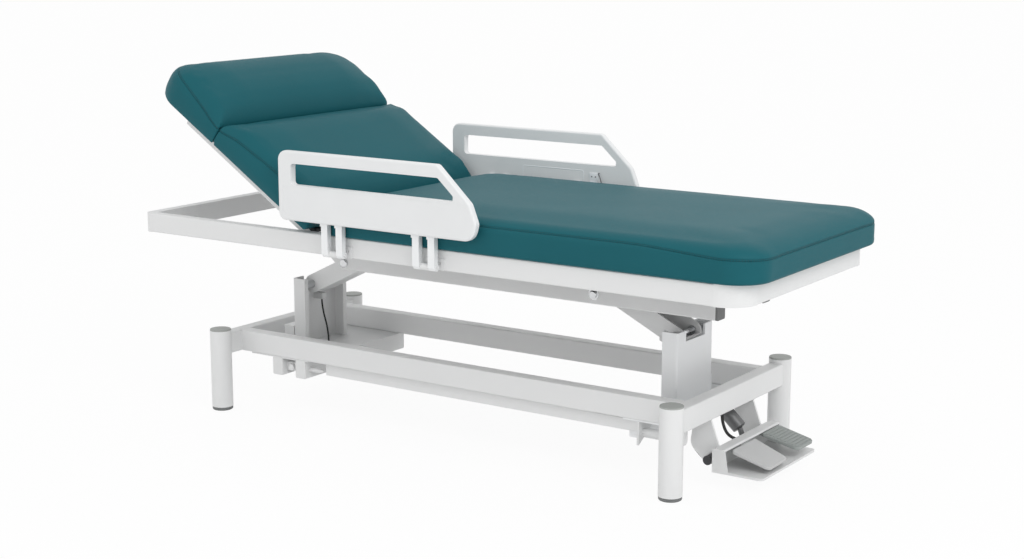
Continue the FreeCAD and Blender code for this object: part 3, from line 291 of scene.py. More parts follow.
def leather_vinyl(name, tone, dark):
    """Leather-look vinyl: pebbled grain, a soft sheen and slight patches."""
    finish = Finish(name)
    patches = finish.clouds(7.0, detail=4.0)
    pebbles = finish.cells(560.0)
    wrinkles = finish.clouds(150.0, detail=4.0)
    grain = finish.ramp(pebbles, ((0.0, 0.0), (0.25, 1.0)))
    finish.paint(patches * 0.6 + 0.2 * wrinkles + 0.2 * grain, dark, tone)
    finish.rough(0.44 + 0.10 * wrinkles - 0.06 * grain)
    finish.relief(grain * 0.6 + wrinkles * 0.7, distance=0.00025, strength=0.5)
    finish.fix(Specular_IOR_Level=0.09)
    return finish.material


def moulded_plastic(name, tone, grain, roughness):
    """Moulded plastic with a spark-eroded grain."""
    finish = Finish(name)
    fine = finish.clouds(grain, detail=3.0)
    broad = finish.clouds(9.0)
    finish.paint(broad, shade(tone, 0.96), shade(tone, 1.02))
    finish.rough(roughness + 0.10 * fine)
    finish.relief(fine, distance=0.0001, strength=0.5)
    return finish.material


def worn_rubber(name, tone):
    """Rubber with a dusty bloom."""
    finish = Finish(name)
    dust = finish.clouds(30.0, detail=5.0)
    fine = finish.clouds(900.0)
    finish.paint(dust, tone, shade(tone, 1.8))
    finish.rough(0.55 + 0.16 * dust)
    finish.relief(fine, distance=0.00015, strength=0.6)
    return finish.material


def polished_chrome(name):
    """Chrome with a slight haze."""
    finish = Finish(name)
    haze = finish.clouds(35.0, detail=4.0)
    finish.paint(haze, (0.62, 0.63, 0.64), (0.72, 0.73, 0.74))
    finish.rough(0.09 + 0.12 * haze)
    finish.fix(Metallic=1.0)
    finish.relief(finish.clouds(260.0), distance=0.00003, strength=0.4)
    return finish.material


def zinc_plate(name):
    """Zinc plate, streaked along its bars."""
    finish = Finish(name)
    streaks = finish.clouds(6.0, detail=4.0, place=finish.stretched((12.0, 1.0, 12.0)))
    finish.paint(streaks, (0.42, 0.43, 0.44), (0.60, 0.61, 0.62))
    finish.rough(0.28 + 0.18 * streaks)
    finish.fix(Metallic=0.95)
    finish.relief(streaks, distance=0.00004, strength=0.5)
    return finish.material


def grey_enamel(name):
    """Glossy grey enamel of the pump's cylinder."""
    finish = Finish(name)
    fine = finish.clouds(480.0)
    finish.paint(finish.clouds(14.0, detail=3.0), (0.125, 0.127, 0.13), (0.175, 0.178, 0.18))
    finish.rough(0.30 + 0.12 * fine)
    finish.fix(Metallic=0.35)
    finish.relief(fine, distance=0.0001, strength=0.5)
    return finish.material


def black_paint(name):
    """Semi-gloss black paint."""
    finish = Finish(name)
    fine = finish.clouds(480.0)
    finish.paint(finish.clouds(14.0, detail=3.0), (0.016, 0.016, 0.018), (0.045, 0.046, 0.05))
    finish.rough(0.30 + 0.14 * fine)
    finish.relief(fine, distance=0.0001, strength=0.5)
    return finish.material


def black_lining(name, tone):
    """Woven lining stapled over the boards."""
    finish = Finish(name)
    warp = finish.node("ShaderNodeTexWave", {"wave_type": "BANDS", "bands_direction": "X"},
                       {"Vector": finish.place, "Scale": 420.0, "Distortion": 0.4})
    weft = finish.node("ShaderNodeTexWave", {"wave_type": "BANDS", "bands_direction": "Y"},
                       {"Vector": finish.place, "Scale": 420.0, "Distortion": 0.4})
    weave = Value(finish, warp.outputs["Fac"]) * Value(finish, weft.outputs["Fac"])
    finish.paint(weave * 0.7 + 0.3 * finish.clouds(9.0, detail=3.0), shade(tone, 0.6), shade(tone, 1.5))
    finish.rough(0.72 + 0.12 * weave)
    finish.relief(weave, distance=0.0003, strength=0.6)
    return finish.material


def settings():
    return bpy.context.scene.table_settings


def dress(node, material):
    """Give a carried-over node its finish."""
    mesh = frame["nodes"][node].data
    mesh.materials.clear()
    mesh.materials.append(material)


def nodes_of(slot):
    return [part["node"] for part in frame["record"]["subparts"] if part["material_slot"] == slot]


def add_object(name, data):
    """A new object in the scene."""
    made = bpy.data.objects.new(name, data)
    bpy.context.scene.collection.objects.link(made)
    return made


def mesh_of(name, build):
    """Turn a bmesh into a mesh."""
    mesh = bpy.data.meshes.new(name)
    build.to_mesh(mesh)
    build.free()
    return mesh


def new_piece(name, build, body, slot, *materials):
    """Turn a bmesh into a piece that rides on a body."""
    mesh = mesh_of(name, build)
    for material in materials:
        mesh.materials.append(material)
    for face in mesh.polygons:
        face.use_smooth = True
    piece = add_object(name, mesh)
    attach(piece, body)
    return piece


def smooth_step(value):
    value = min(1.0, max(0.0, value))
    return value * value * (3.0 - 2.0 * value)


class Pad:
    """A cushion of rounded-rectangle rings, from the middle of its underside to the middle of its top.

    It lies flat: x runs along the table and z is its thickness. corners are the radii of its outline in
    the order head front, foot front, foot back, head back. rolls are the widths of the rolled top edge
    at the head, the foot and the sides, and rise is the roll's height. dips are how far the top falls
    at the head and the foot. slide is (x, way, x, way): how far along the roll the seam has moved at two
    places along the cushion.
    """

    # Radius of the lower edge, how far the side draws in there, and how soon it fills out above
    EDGE, SETTLE, SIDE_BULGE = 0.010, 0.003, 0.7
    THINNEST_CORNER = 0.00005
    # Corners rounder than the radius are gathered: number of folds, and their reach from the seam
    GATHERED_RADIUS, GATHERS, PUCKER_REACH = 0.03, 9, 0.013
    GROOVE_REACH = 0.0026
    # Rows of the mesh lie close together from below the seam to above it
    BELOW_SEAM, ABOVE_SEAM, ROW_STEP = 0.0036, 0.0032, 0.0008
    UNDERSIDE = (1.0, 0.7, 0.4, 0.15)
    EDGE_STEPS, SIDE_STEPS, ROLL_STEPS, TOP_STEPS, CORNER_STEPS, FEWEST_STEPS = 4, 11, 13, 16, 28, 8
    # Above one, the rings of the top lie closer together near its edge
    TOP_GRADING = 1.4
    MERGE = 0.0002
    DIP_REACH = 0.075
    CROWN_SIDE, CROWN_END, CROWN_MARGIN = 0.17, 0.13, 0.01
    # Height of the stuffing's lumps and of the side's waves, and how close together they are
    LUMPS, LUMP_SCALES = 0.0012, (5.0, 7.0, 9.0)
    WAVES, WAVE_SCALE, WAVE_LEVEL = 0.0008, 8.0, 1.7
    # Sides of the thread, where it is full along a stitch, and how far it stands out
    THREAD_SIDES, THREAD_SHOULDER, THREAD_PROUD = 6, 0.32, 0.4

    def __init__(self, x0, x1, half_y, base, corners, rolls, rise, crown, dips, slide, step=0.013):
        self.x0, self.x1, self.half_y, self.base = x0, x1, half_y, base
        self.corners, self.rolls, self.rise, self.crown = corners, rolls, rise, crown
        self.dips, self.slide = dips, slide
        self.shape = settings().cushions
        self.quarter = math.pi / 2 * math.sqrt((rise ** 2 + (sum(rolls) / 3) ** 2) / 2)
        self.way_round = []
        for i in range(4):
            self.way_round.extend((i, True, k / self.CORNER_STEPS) for k in range(self.CORNER_STEPS + 1))
            count = max(self.FEWEST_STEPS, round(((x1 - x0) if i in (0, 2) else 2 * half_y) / step))
            self.way_round.extend((i, False, k / count) for k in range(1, count))

    def corner(self, i, head, foot, side):
        """Centre, radius and first angle of a corner of the outline pulled in at head, foot and sides."""
        x0, x1, y = self.x0 + head, self.x1 - foot, max(0.0, self.half_y - side)
        spare = min(x1 - x0, 2 * y) / 2
        r = max(self.THINNEST_CORNER, min(self.corners[i] - min(head, foot, side), spare))
        x = x0 + r if i in (0, 3) else x1 - r
        return Vector((x, (r - y) if i in (0, 1) else (y - r))), r, math.radians(ARC_STARTS[i])

    def spot(self, station, head, foot, side, gather=0.0):
        """One point of the pulled-in outline."""
        i, on_arc, share = station
        centre, r, start = self.corner(i, head, foot, side)
        if on_arc:
            fold = 0.5 - 0.5 * math.cos(2 * math.pi * self.GATHERS * share)
            if self.corners[i] > self.GATHERED_RADIUS:
                r -= gather * fold * math.sin(math.pi * share)
            angle = start + math.pi / 2 * share
            return centre + r * Vector((math.cos(angle), math.sin(angle)))
        begin = centre + r * Vector((math.cos(start + math.pi / 2), math.sin(start + math.pi / 2)))
        centre, r, start = self.corner((i + 1) % 4, head, foot, side)
        return begin.lerp(centre + r * Vector((math.cos(start), math.sin(start))), share)

    def seam_way(self, station):
        """Distance of the seam from the lower edge, along the cushion's side and roll."""
        x = self.spot(station, 0.0, 0.0, 0.0).x
        first, first_way, last, last_way = self.slide
        share = smooth_step((x - first) / (last - first))
        return self.shape.seam_level + first_way + (last_way - first_way) * share

    def on_side(self, station, way, row):
        """Place on the side or the roll, way from the lower edge and row from the seam."""
        shape = self.shape
        if way <= shape.seam_level:
            level, turn = way, 0.0
        else:
            angle = min(1.0, (way - shape.seam_level) / self.quarter) * math.pi / 2
            level, turn = shape.seam_level + self.rise * math.sin(angle), 1.0 - math.cos(angle)
        share = (way - self.EDGE) / (shape.seam_level - self.EDGE)
        pull = self.SETTLE * (1.0 - math.sin(math.pi * min(0.5, max(0.0, share))) ** self.SIDE_BULGE)
        for place, depth in ((0.0, 1.0), (shape.twin_gap, 0.5)):
            gap = (row - place) / self.GROOVE_REACH
            pull += depth * shape.seam_depth * max(0.0, 1.0 - gap * gap)
        gather = shape.pucker_depth * max(0.0, 1.0 - (row / self.PUCKER_REACH) ** 2)
        head, foot, side = (pull + roll * turn for roll in self.rolls)
        return self.lift(self.spot(station, head, foot, side, gather), level)

    def rings(self):
        """Every ring as a list of places."""
        return self.underside() + self.band() + self.top()

    def underside(self):
        """Rings from the middle of the underside round the lower edge."""
        half = min(self.x1 - self.x0, 2 * self.half_y) / 2
        rows = []
        for share in self.UNDERSIDE:
            rows.append([self.lift(self.spot(s, half * share, half * share, half * share), 0.0)
                         for s in self.way_round])
        for k in range(self.EDGE_STEPS + 1):
            angle = math.pi / 2 / self.EDGE_STEPS * k
            pull = self.SETTLE + self.EDGE * (1.0 - math.sin(angle))
            rows.append([self.lift(self.spot(s, pull, pull, pull), self.EDGE * (1.0 - math.cos(angle)))
                         for s in self.way_round])
        return rows

    def band(self):
        """Rings up the side, close together over the seam, and on over the roll."""
        shape = self.shape
        seams = [self.seam_way(s) for s in self.way_round]
        low, high = -self.BELOW_SEAM, shape.twin_gap + self.ABOVE_SEAM
        rows = []
        for k in range(1, self.SIDE_STEPS):
            rows.append([self.on_side(s, self.EDGE + (seam + low - self.EDGE) * k / self.SIDE_STEPS,
                                      (seam - self.EDGE) * (k / self.SIDE_STEPS - 1.0))
                         for s, seam in zip(self.way_round, seams)])
        row = low
        while row < high:
            rows.append([self.on_side(s, seam + row, row) for s, seam in zip(self.way_round, seams)])
            row += self.ROW_STEP
        end = shape.seam_level + self.quarter
        for k in range(1, self.ROLL_STEPS + 1):
            share = k / self.ROLL_STEPS
            rows.append([self.on_side(s, seam + high + (end - seam - high) * share,
                                      high + (end - seam - high) * share)
                         for s, seam in zip(self.way_round, seams)])
        return rows

    def top(self):
        """Rings from the end of the roll to the middle of the top."""
        half = min(self.x1 - self.x0, 2 * self.half_y) / 2
        level = self.shape.seam_level + self.rise
        rows = []
        for k in range(1, self.TOP_STEPS + 1):
            share = (k / self.TOP_STEPS) ** self.TOP_GRADING
            head, foot, side = (roll + (half - roll) * share for roll in self.rolls)
            rows.append([self.lift(self.spot(s, head, foot, side), level) for s in self.way_round])
        return rows

    def lift(self, point, level):
        """Place of a ring's point, with the crown, the dips and the slight waves of the stuffing."""
        x, y = point
        z = self.base + level
        near_top = smooth_step((level - self.EDGE) / (self.shape.seam_level + self.rise - self.EDGE))
        for gap, dip in ((x - self.x0, self.dips[0]), (self.x1 - x, self.dips[1])):
            z -= dip * near_top * smooth_step(1.0 - gap / self.DIP_REACH)
        margin = self.CROWN_MARGIN
        side = smooth_step((self.half_y - abs(y) + margin) / self.CROWN_SIDE)
        ends = smooth_step((x - self.x0 + margin) / self.CROWN_END)
        ends *= smooth_step((self.x1 - x + margin) / self.CROWN_END)
        z += self.crown * side * ends * near_top
        if level > self.EDGE:
            along, across, by_base = self.LUMP_SCALES
            spread = Vector((x * along, y * across, self.base * by_base))
            z += self.LUMPS * side * ends * noise.noise(spread)
            spread = Vector((x * self.WAVE_SCALE, y * self.WAVE_SCALE, self.WAVE_LEVEL))
            wave = self.WAVES * noise.noise(spread)
            x += wave * (1.0 - near_top)
            y += wave * (1.0 - near_top)
        return Vector((x, y, z))

    def mesh(self, change):
        """Bmesh of the whole cushion. change is a last function from place to place."""
        build = bmesh.new()
        rows = [[build.verts.new(change(place)) for place in ring] for ring in self.rings()]
        count = len(rows[0])
        for low, high in zip(rows, rows[1:]):
            for i in range(count):
                j = (i + 1) % count
                build.faces.new((low[i], low[j], high[j], high[i]))
        bmesh.ops.remove_doubles(build, verts=build.verts, dist=self.MERGE)
        bmesh.ops.recalc_face_normals(build, faces=build.faces)
        return build

    def stitches(self, rows, change):
        """Bmesh of the stitches, one row at each given distance above the seam."""
        build = bmesh.new()
        for row in rows:
            line = []
            for station in self.way_round:
                line.append(self.on_side(station, self.seam_way(station) + row, row))
            self.sew(build, line + line[:1], change)
        return build

    def sew(self, build, line, change):
        """Add one stitch after another along a line of places."""
        pitch = self.shape.stitch_pitch
        walked, goal = 0.0, pitch / 2
        for here, there in zip(line, line[1:]):
            gap = (there - here).length
            while gap > 0 and goal <= walked + gap:
                self.stitch(build, here, there, (goal - walked) / gap, change)
                goal += pitch
            walked += gap

    def stitch(self, build, here, there, share, change):
        """One stitch: a short thread that runs to a point at both ends."""
        size, width = self.shape.stitch_length, self.shape.stitch_width / 2
        way = (there - here).normalized()
        out = way.cross(Vector((0, 0, 1))).normalized()
        middle = here.lerp(there, share) + out * width * self.THREAD_PROUD
        ends = [build.verts.new(change(middle + way * size * s)) for s in (-0.5, 0.5)]
        belts = []
        for s in (-self.THREAD_SHOULDER, self.THREAD_SHOULDER):
            belt = []
            for turn in range(self.THREAD_SIDES):
                angle = math.radians(360.0 / self.THREAD_SIDES * turn)
                across = out * math.cos(angle) + Vector((0, 0, math.sin(angle)))
                belt.append(build.verts.new(change(middle + way * size * s + across * width)))
            belts.append(belt)
        for k in range(self.THREAD_SIDES):
            n = (k + 1) % self.THREAD_SIDES
            build.faces.new((ends[0], belts[0][n], belts[0][k]))
            build.faces.new((belts[0][k], belts[0][n], belts[1][n], belts[1][k]))
            build.faces.new((ends[1], belts[1][k], belts[1][n]))


class Swell:
    """Movement of a cushion's skin when its padding pushes it out, simulated on a coarse copy as cloth.

    The lowest part of the copy, up to HELD, stays where it is.
    """

    VOXEL = 0.012
    FRAMES = 20
    PRESSURE = 4.0
    STIFFNESS = 60.0
    HELD = 0.012
    NEIGHBOURS = 7
    NEAR_SOFTENING = 0.00003

    def __init__(self, pad, cap):
        self.cap = cap
        self.moves = []
        self.tree = None
        self.simulate(pad)

    def simulate(self, pad):
        """Blow up the coarse copy and keep how far each of its points moved."""
        scene = bpy.context.scene
        seamed = mesh_of("skin", pad.mesh(lambda place: place))
        skin = add_object("skin", seamed)
        remesh = skin.modifiers.new("voxels", "REMESH")
        remesh.mode = "VOXEL"
        remesh.voxel_size = self.VOXEL
        coarse = bpy.data.meshes.new_from_object(skin.evaluated_get(bpy.context.evaluated_depsgraph_get()))
        skin.modifiers.clear()
        skin.data = coarse
        held = skin.vertex_groups.new(name="held")
        for vert in coarse.vertices:
            if vert.co.z - pad.base < self.HELD:
                held.add([vert.index], 1.0, "REPLACE")
        rest = [vert.co.copy() for vert in coarse.vertices]
        cloth = skin.modifiers.new("cloth", "CLOTH")
        cloth.settings.use_pressure = True
        cloth.settings.uniform_pressure_force = self.PRESSURE
        cloth.settings.tension_stiffness = self.STIFFNESS
        cloth.settings.compression_stiffness = self.STIFFNESS
        cloth.settings.vertex_group_mass = held.name
        cloth.settings.effector_weights.gravity = 0.0
        cloth.point_cache.frame_start = 1
        cloth.point_cache.frame_end = self.FRAMES
        for number in range(1, self.FRAMES + 1):
            scene.frame_set(number)
        final = skin.evaluated_get(bpy.context.evaluated_depsgraph_get()).to_mesh()
        self.tree = kdtree.KDTree(len(rest))
        for i, (place, vert) in enumerate(zip(rest, final.vertices)):
            move = vert.co - place
            size = move.length
            if size > 0:
                move *= self.cap * math.tanh(size / self.cap) / size
            self.moves.append(move.copy())
            self.tree.insert(place, i)
        self.tree.balance()
        scene.frame_set(1)
        bpy.data.objects.remove(skin)
        for spent in (seamed, coarse):
            bpy.data.meshes.remove(spent)

    def __call__(self, place):
        """The place after the swelling, from the nearest points of the coarse copy."""
        if self.tree is None:
            return place
        total, moved = 0.0, Vector((0.0, 0.0, 0.0))
        for _, index, gap in self.tree.find_n(place, self.NEIGHBOURS):
            weight = 1.0 / (gap * gap + self.NEAR_SOFTENING)
            total += weight
            moved += self.moves[index] * weight
        return place + moved / total


def tube(name, points, radius, body, material):
    """A round bar or hose along a smooth line through its control points."""
    curve = bpy.data.curves.new(name, "CURVE")
    curve.dimensions = "3D"
    curve.bevel_depth = radius
    curve.bevel_resolution = 6
    curve.use_fill_caps = True
    spline = curve.splines.new("NURBS")
    spline.points.add(len(points) - 1)
    for point, place in zip(spline.points, points):
        point.co = (*place, 1.0)
    spline.order_u = 3
    spline.use_endpoint_u = True
    spline.resolution_u = 16
    curve.materials.append(material)
    piece = add_object(name, curve)
    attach(piece, body)
    return piece


def rounded_block(build, low, high, edge):
    """Add a box with bevelled edges to a bmesh."""
    made = bmesh.ops.create_cube(build, size=1.0)["verts"]
    for vert in made:
        vert.co = Vector(low[i] + (vert.co[i] + 0.5) * (high[i] - low[i]) for i in range(3))
    edges = {e for v in made for e in v.link_edges}
    bmesh.ops.bevel(build, geom=list(edges), offset=edge, segments=3, affect="EDGES", profile=0.5)


class TABLE_OT_stage(bpy.types.Operator):
    """Set the floor, lamps, world and camera."""

    bl_idname = "table.stage"
    bl_label = "Stage"

    # Place of each lamp, the place it looks at and its size
    KEY = ((3.6, -1.6, 3.2), (0.3, 0.0, 0.5), 2.4)
    FILL = ((-2.2, -3.4, 2.4), (-0.2, 0.0, 0.5), 2.6)
    FLOOR_GLOW = 0.94

    def execute(self, context):
        stage = settings().stage
        self.floor(stage.floor_size)
        self.world(stage.world_strength)
        self.lamp("Key", *self.KEY, stage.key_power)
        self.lamp("Fill", *self.FILL, stage.fill_power)
        self.camera()
        context.scene.view_settings.view_transform = "Standard"
        return {"FINISHED"}

    def floor(self, size):
        build = bmesh.new()
        bmesh.ops.create_grid(build, x_segments=2, y_segments=2, size=size / 2)
        mesh = mesh_of("floor", build)
        floor = add_object("floor", mesh)
        finish = Finish("studio_floor")
        finish.paint(finish.clouds(2.0), (0.86, 0.86, 0.86), (0.88, 0.88, 0.88))
        finish.rough(0.9)
        seen = finish.seen_directly()
        glow = finish.node("ShaderNodeEmission", None, {"Color": WHITE, "Strength": 1.0})
        mix = finish.node("ShaderNodeMixShader", None,
                          {0: seen * self.FLOOR_GLOW, 1: finish.shader.outputs[0], 2: glow.outputs[0]})
        output = finish.tree.nodes["Material Output"]
        finish.tree.links.new(mix.outputs[0], output.inputs["Surface"])
        mesh.materials.append(finish.material)

    def world(self, strength):
        world = bpy.data.worlds.new("studio")
        bpy.context.scene.world = world
        finish = Finish.of_world(world)
        seen = finish.seen_directly()
        light = finish.node("ShaderNodeBackground", None, {"Color": WHITE, "Strength": strength})
        bright = finish.node("ShaderNodeBackground", None, {"Color": WHITE, "Strength": 1.0})
        mix = finish.node("ShaderNodeMixShader", None, {0: seen, 1: light.outputs[0], 2: bright.outputs[0]})
        output = finish.node("ShaderNodeOutputWorld")
        finish.tree.links.new(mix.outputs[0], output.inputs["Surface"])

    def lamp(self, name, place, goal, size, power):
        data = bpy.data.lights.new(name, "AREA")
        data.shape = "SQUARE"
        data.size = size
        data.energy = power
        lamp = add_object(name, data)
        lamp.location = place
        way = Vector(goal) - Vector(place)
        lamp.rotation_euler = way.to_track_quat("-Z", "Y").to_euler()

    def camera(self):
        az, el, roll = (math.radians(v) for v in (CAMERA_AZIMUTH, CAMERA_ELEVATION, CAMERA_ROLL))
        back = Vector((math.sin(az) * math.cos(el), -math.cos(az) * math.cos(el), math.sin(el)))
        level = Vector((math.cos(az), math.sin(az), 0.0))
        upright = back.cross(level)
        right = level * math.cos(roll) + upright * math.sin(roll)
        up = upright * math.cos(roll) - level * math.sin(roll)
        data = bpy.data.cameras.new("Camera")
        data.sensor_width = SENSOR_WIDTH
        data.lens = CAMERA_LENS
        camera = add_object("Camera", data)
        turn = Matrix((right, up, back)).transposed().to_4x4()
        camera.matrix_world = Matrix.Translation(CAMERA_PLACE) @ turn
        bpy.context.scene.camera = camera


class TABLE_OT_metalwork(bpy.types.Operator):
    """Finish the frame, arms, pins and springs."""

    bl_idname = "table.metalwork"
    bl_label = "Metalwork"

    def execute(self, context):
        tones = settings().colours
        finishes = {
            "white_powder_coat": coated_steel("white_powder_coat", tones.powder_coat),
            "chrome_steel": polished_chrome("chrome_steel"),
            "plated_steel": zinc_plate("plated_steel"),
            "dark_steel": black_paint("dark_steel"),
            "board": black_lining("board", tones.lining),
        }
        for slot, material in finishes.items():
            for node in nodes_of(slot):
                dress(node, material)
        dress("pump_cylinder", grey_enamel("grey_enamel"))
        return {"FINISHED"}


def recut(node, body, change):
    """Put a changed copy of a node's mesh in the node's place. change works on the copy's bmesh."""
    build = bmesh.new()
    build.from_mesh(frame["nodes"][node].data)
    bmesh.ops.remove_doubles(build, verts=build.verts, dist=WELD)
    change(build)
    slot = next(part["material_slot"] for part in frame["record"]["subparts"] if part["node"] == node)
    piece = new_piece(node + "_cut", build, body, slot, bpy.data.materials[slot])
    for face in piece.data.polygons:
        face.use_smooth = False
    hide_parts(node)


class TABLE_OT_cut_parts(bpy.types.Operator):
    """Shorten the guard posts, and trim the foot column and the foot cross tubes' pan."""

    bl_idname = "table.cut_parts"
    bl_label = "Cut parts"

    # Level at which a post ends, and the level above which its points are lowered
    POST_TOP, POST_HEAD = 0.642, 0.620
    COLUMN_OUTER_END = 0.6262
    PAN_INNER_END = 0.548

    def execute(self, context):
        for side in ("front", "back"):
            recut("guard_" + side + "_posts", "guard_" + side, self.shorten)
        recut("foot_column", "base", lambda build: self.trim(build, self.COLUMN_OUTER_END, 1.0))
        recut("foot_crossmember", "base", lambda build: self.trim(build, self.PAN_INNER_END, -1.0))
        return {"FINISHED"}

    def shorten(self, build):
        """Lower the posts' heads to the height that the photograph shows."""
        drop = max(vert.co.z for vert in build.verts) - self.POST_TOP
        for vert in build.verts:
            if vert.co.z > self.POST_HEAD:
                vert.co.z -= drop

    def trim(self, build, x, way):
        """Cut everything beyond a plane square to x away and close the cut."""
        everything = list(build.verts) + list(build.edges) + list(build.faces)
        made = bmesh.ops.bisect_plane(build, geom=everything, dist=WELD, plane_co=(x, 0, 0),
                                      plane_no=(way, 0, 0), clear_outer=True)["geom_cut"]
        edges = [part for part in made if isinstance(part, bmesh.types.BMEdge)]
        bmesh.ops.holes_fill(build, edges=edges, sides=0)


class TABLE_OT_mouldings(bpy.types.Operator):
    """Finish the guards, caps, plugs, pedals, glides and hoses."""

    bl_idname = "table.mouldings"
    bl_label = "Mouldings"

    def execute(self, context):
        tones = settings().colours
        finishes = {
            "white_plastic": moulded_plastic("white_plastic", tones.guard_plastic, grain=700.0,
                                             roughness=0.30),
            "grey_plastic": moulded_plastic("grey_plastic", tones.cap_plastic, grain=420.0, roughness=0.42),
            "dark_plastic": moulded_plastic("dark_plastic", tones.plug_plastic, grain=500.0, roughness=0.40),
            "black_rubber": worn_rubber("black_rubber", tones.black_rubber),
        }
        for slot, material in finishes.items():
            for node in nodes_of(slot):
                dress(node, material)
        valve = moulded_plastic("valve_grey", shade(tones.powder_coat, 0.8), grain=500.0, roughness=0.40)
        for node, material in {
            "pedal_tray": moulded_plastic("tray_plastic", tones.tray_plastic, grain=600.0, roughness=0.36),
            "raise_pedal": moulded_plastic("raise_plastic", tones.raise_plastic, grain=300.0, roughness=0.42),
            "lower_pedal": moulded_plastic("lower_plastic", tones.lower_plastic, grain=380.0, roughness=0.34),
            "leg_glides": worn_rubber("glide_rubber", tones.glide_rubber),
            "limit_valve": valve,
        }.items():
            dress(node, material)
        return {"FINISHED"}


class TABLE_OT_hoses(bpy.types.Operator):
    """Make the two hoses and the black edging of the hanger plates."""

    bl_idname = "table.hoses"
    bl_label = "Hoses and edging"

    # Height above the hose's upper end and radius of each edge of the union
    UNION = ((0.0, 0.0058), (0.0, 0.0070), (0.0035, 0.0070), (0.0042, 0.0060), (0.0062, 0.0060),
             (0.0069, 0.0070), (0.0132, 0.0070), (0.0140, 0.0062))
    UNION_SIDES = 24
    # From the head end and the lowest edge of the hanger plates
    EDGING = ((0.004, 0.060), (0.001, 0.040), (0.021, 0.019), (0.045, 0.0005), (0.062, 0.0004))
    EDGING_INSET, EDGING_RADIUS = 0.003, 0.0026

    def execute(self, context):
        rubber = bpy.data.materials["black_rubber"]
        fitting = self.fitting()
        pump = tube("pump_hose_line", PUMP_HOSE_ROUTE, PUMP_HOSE_DIAMETER / 2, "base", rubber)
        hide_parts("pump_hose")
        head = tube("head_hose_line", HEAD_HOSE_ROUTE, HEAD_HOSE_DIAMETER / 2, "base", rubber)
        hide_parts("head_hose")
        self.edging(rubber)
        return {"FINISHED"}

    def fitting(self):
        """Threaded union under the foot rail, where the pump's hose starts."""
        x, y, low = PUMP_HOSE_ROUTE[0]
        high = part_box("base_end_rail_foot")[0].z
        sides = self.UNION_SIDES
        build = bmesh.new()
        rows = []
        for height, radius in self.UNION:
            rows.append([build.verts.new((x + radius * math.cos(2 * math.pi * k / sides),
                                          y + radius * math.sin(2 * math.pi * k / sides),
                                          min(low + height, high))) for k in range(sides)])
        for lower, upper in zip(rows, rows[1:]):
            for k in range(sides):
                n = (k + 1) % sides
                build.faces.new((lower[k], lower[n], upper[n], upper[k]))
        build.faces.new(rows[0][::-1])
        build.faces.new(rows[-1])
        return new_piece("pump_hose_fitting", build, "base", "chrome_steel", bpy.data.materials["dark_steel"])

    def edging(self, rubber):
        """Black edging along the lower curve of each hanger plate."""
        low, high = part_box("pedal_hangers")
        for name, y in (("near", low.y + self.EDGING_INSET), ("far", high.y - self.EDGING_INSET)):
            points = [(low.x + along, y, low.z + up) for along, up in self.EDGING]
            tube("hanger_edging_" + name, points, self.EDGING_RADIUS, "base", rubber)


def vinyl_pair():
    """The upholstery and its thread, made once."""
    tones = settings().colours
    found = bpy.data.materials.get("vinyl_finish")
    if found is None:
        found = leather_vinyl("vinyl_finish", tones.vinyl, tones.vinyl_shade)
    thread = bpy.data.materials.get("thread_finish")
    if thread is None:
        thread = moulded_plastic("thread_finish", tones.thread, grain=900.0, roughness=0.5)
    return found, thread


def make_pad(name, pad, node, body, turn):
    """Swell a cushion, sew it, and put both pieces in place of its solid."""
    vinyl, thread = vinyl_pair()
    swell = Swell(pad, pad.shape.swell_cap)
    piece = new_piece(name, pad.mesh(swell), body, "teal_vinyl", vinyl)
    sewn = pad.stitches((0.0, pad.shape.twin_gap), swell)
    seam = new_piece(name + "_stitches", sewn, body, "teal_vinyl", thread)
    for made in (piece, seam):
        made.data.transform(turn)
    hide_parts(node)


class TABLE_OT_seat(bpy.types.Operator):
    """Make the seat cushion."""

    bl_idname = "table.seat"
    bl_label = "Seat cushion"

    CORNERS = (0.010, 0.095, 0.078, 0.010)
    ROLLS = (0.026, 0.055, 0.040)
    DIPS = (0.010, 0.003)
    OVERHANG = 0.006
    SLIDE = (0.62, 0.015, 0.92, -0.001)

    def execute(self, context):
        low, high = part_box("seat_cushion")
        shape = settings().cushions
        pad = Pad(low.x, high.x + self.OVERHANG, high.y, low.z, self.CORNERS, self.ROLLS, shape.seat_rise,
                  shape.seat_crown, self.DIPS, self.SLIDE)
        make_pad("seat_pad", pad, "seat_cushion", "top", Matrix.Identity(4))
        return {"FINISHED"}


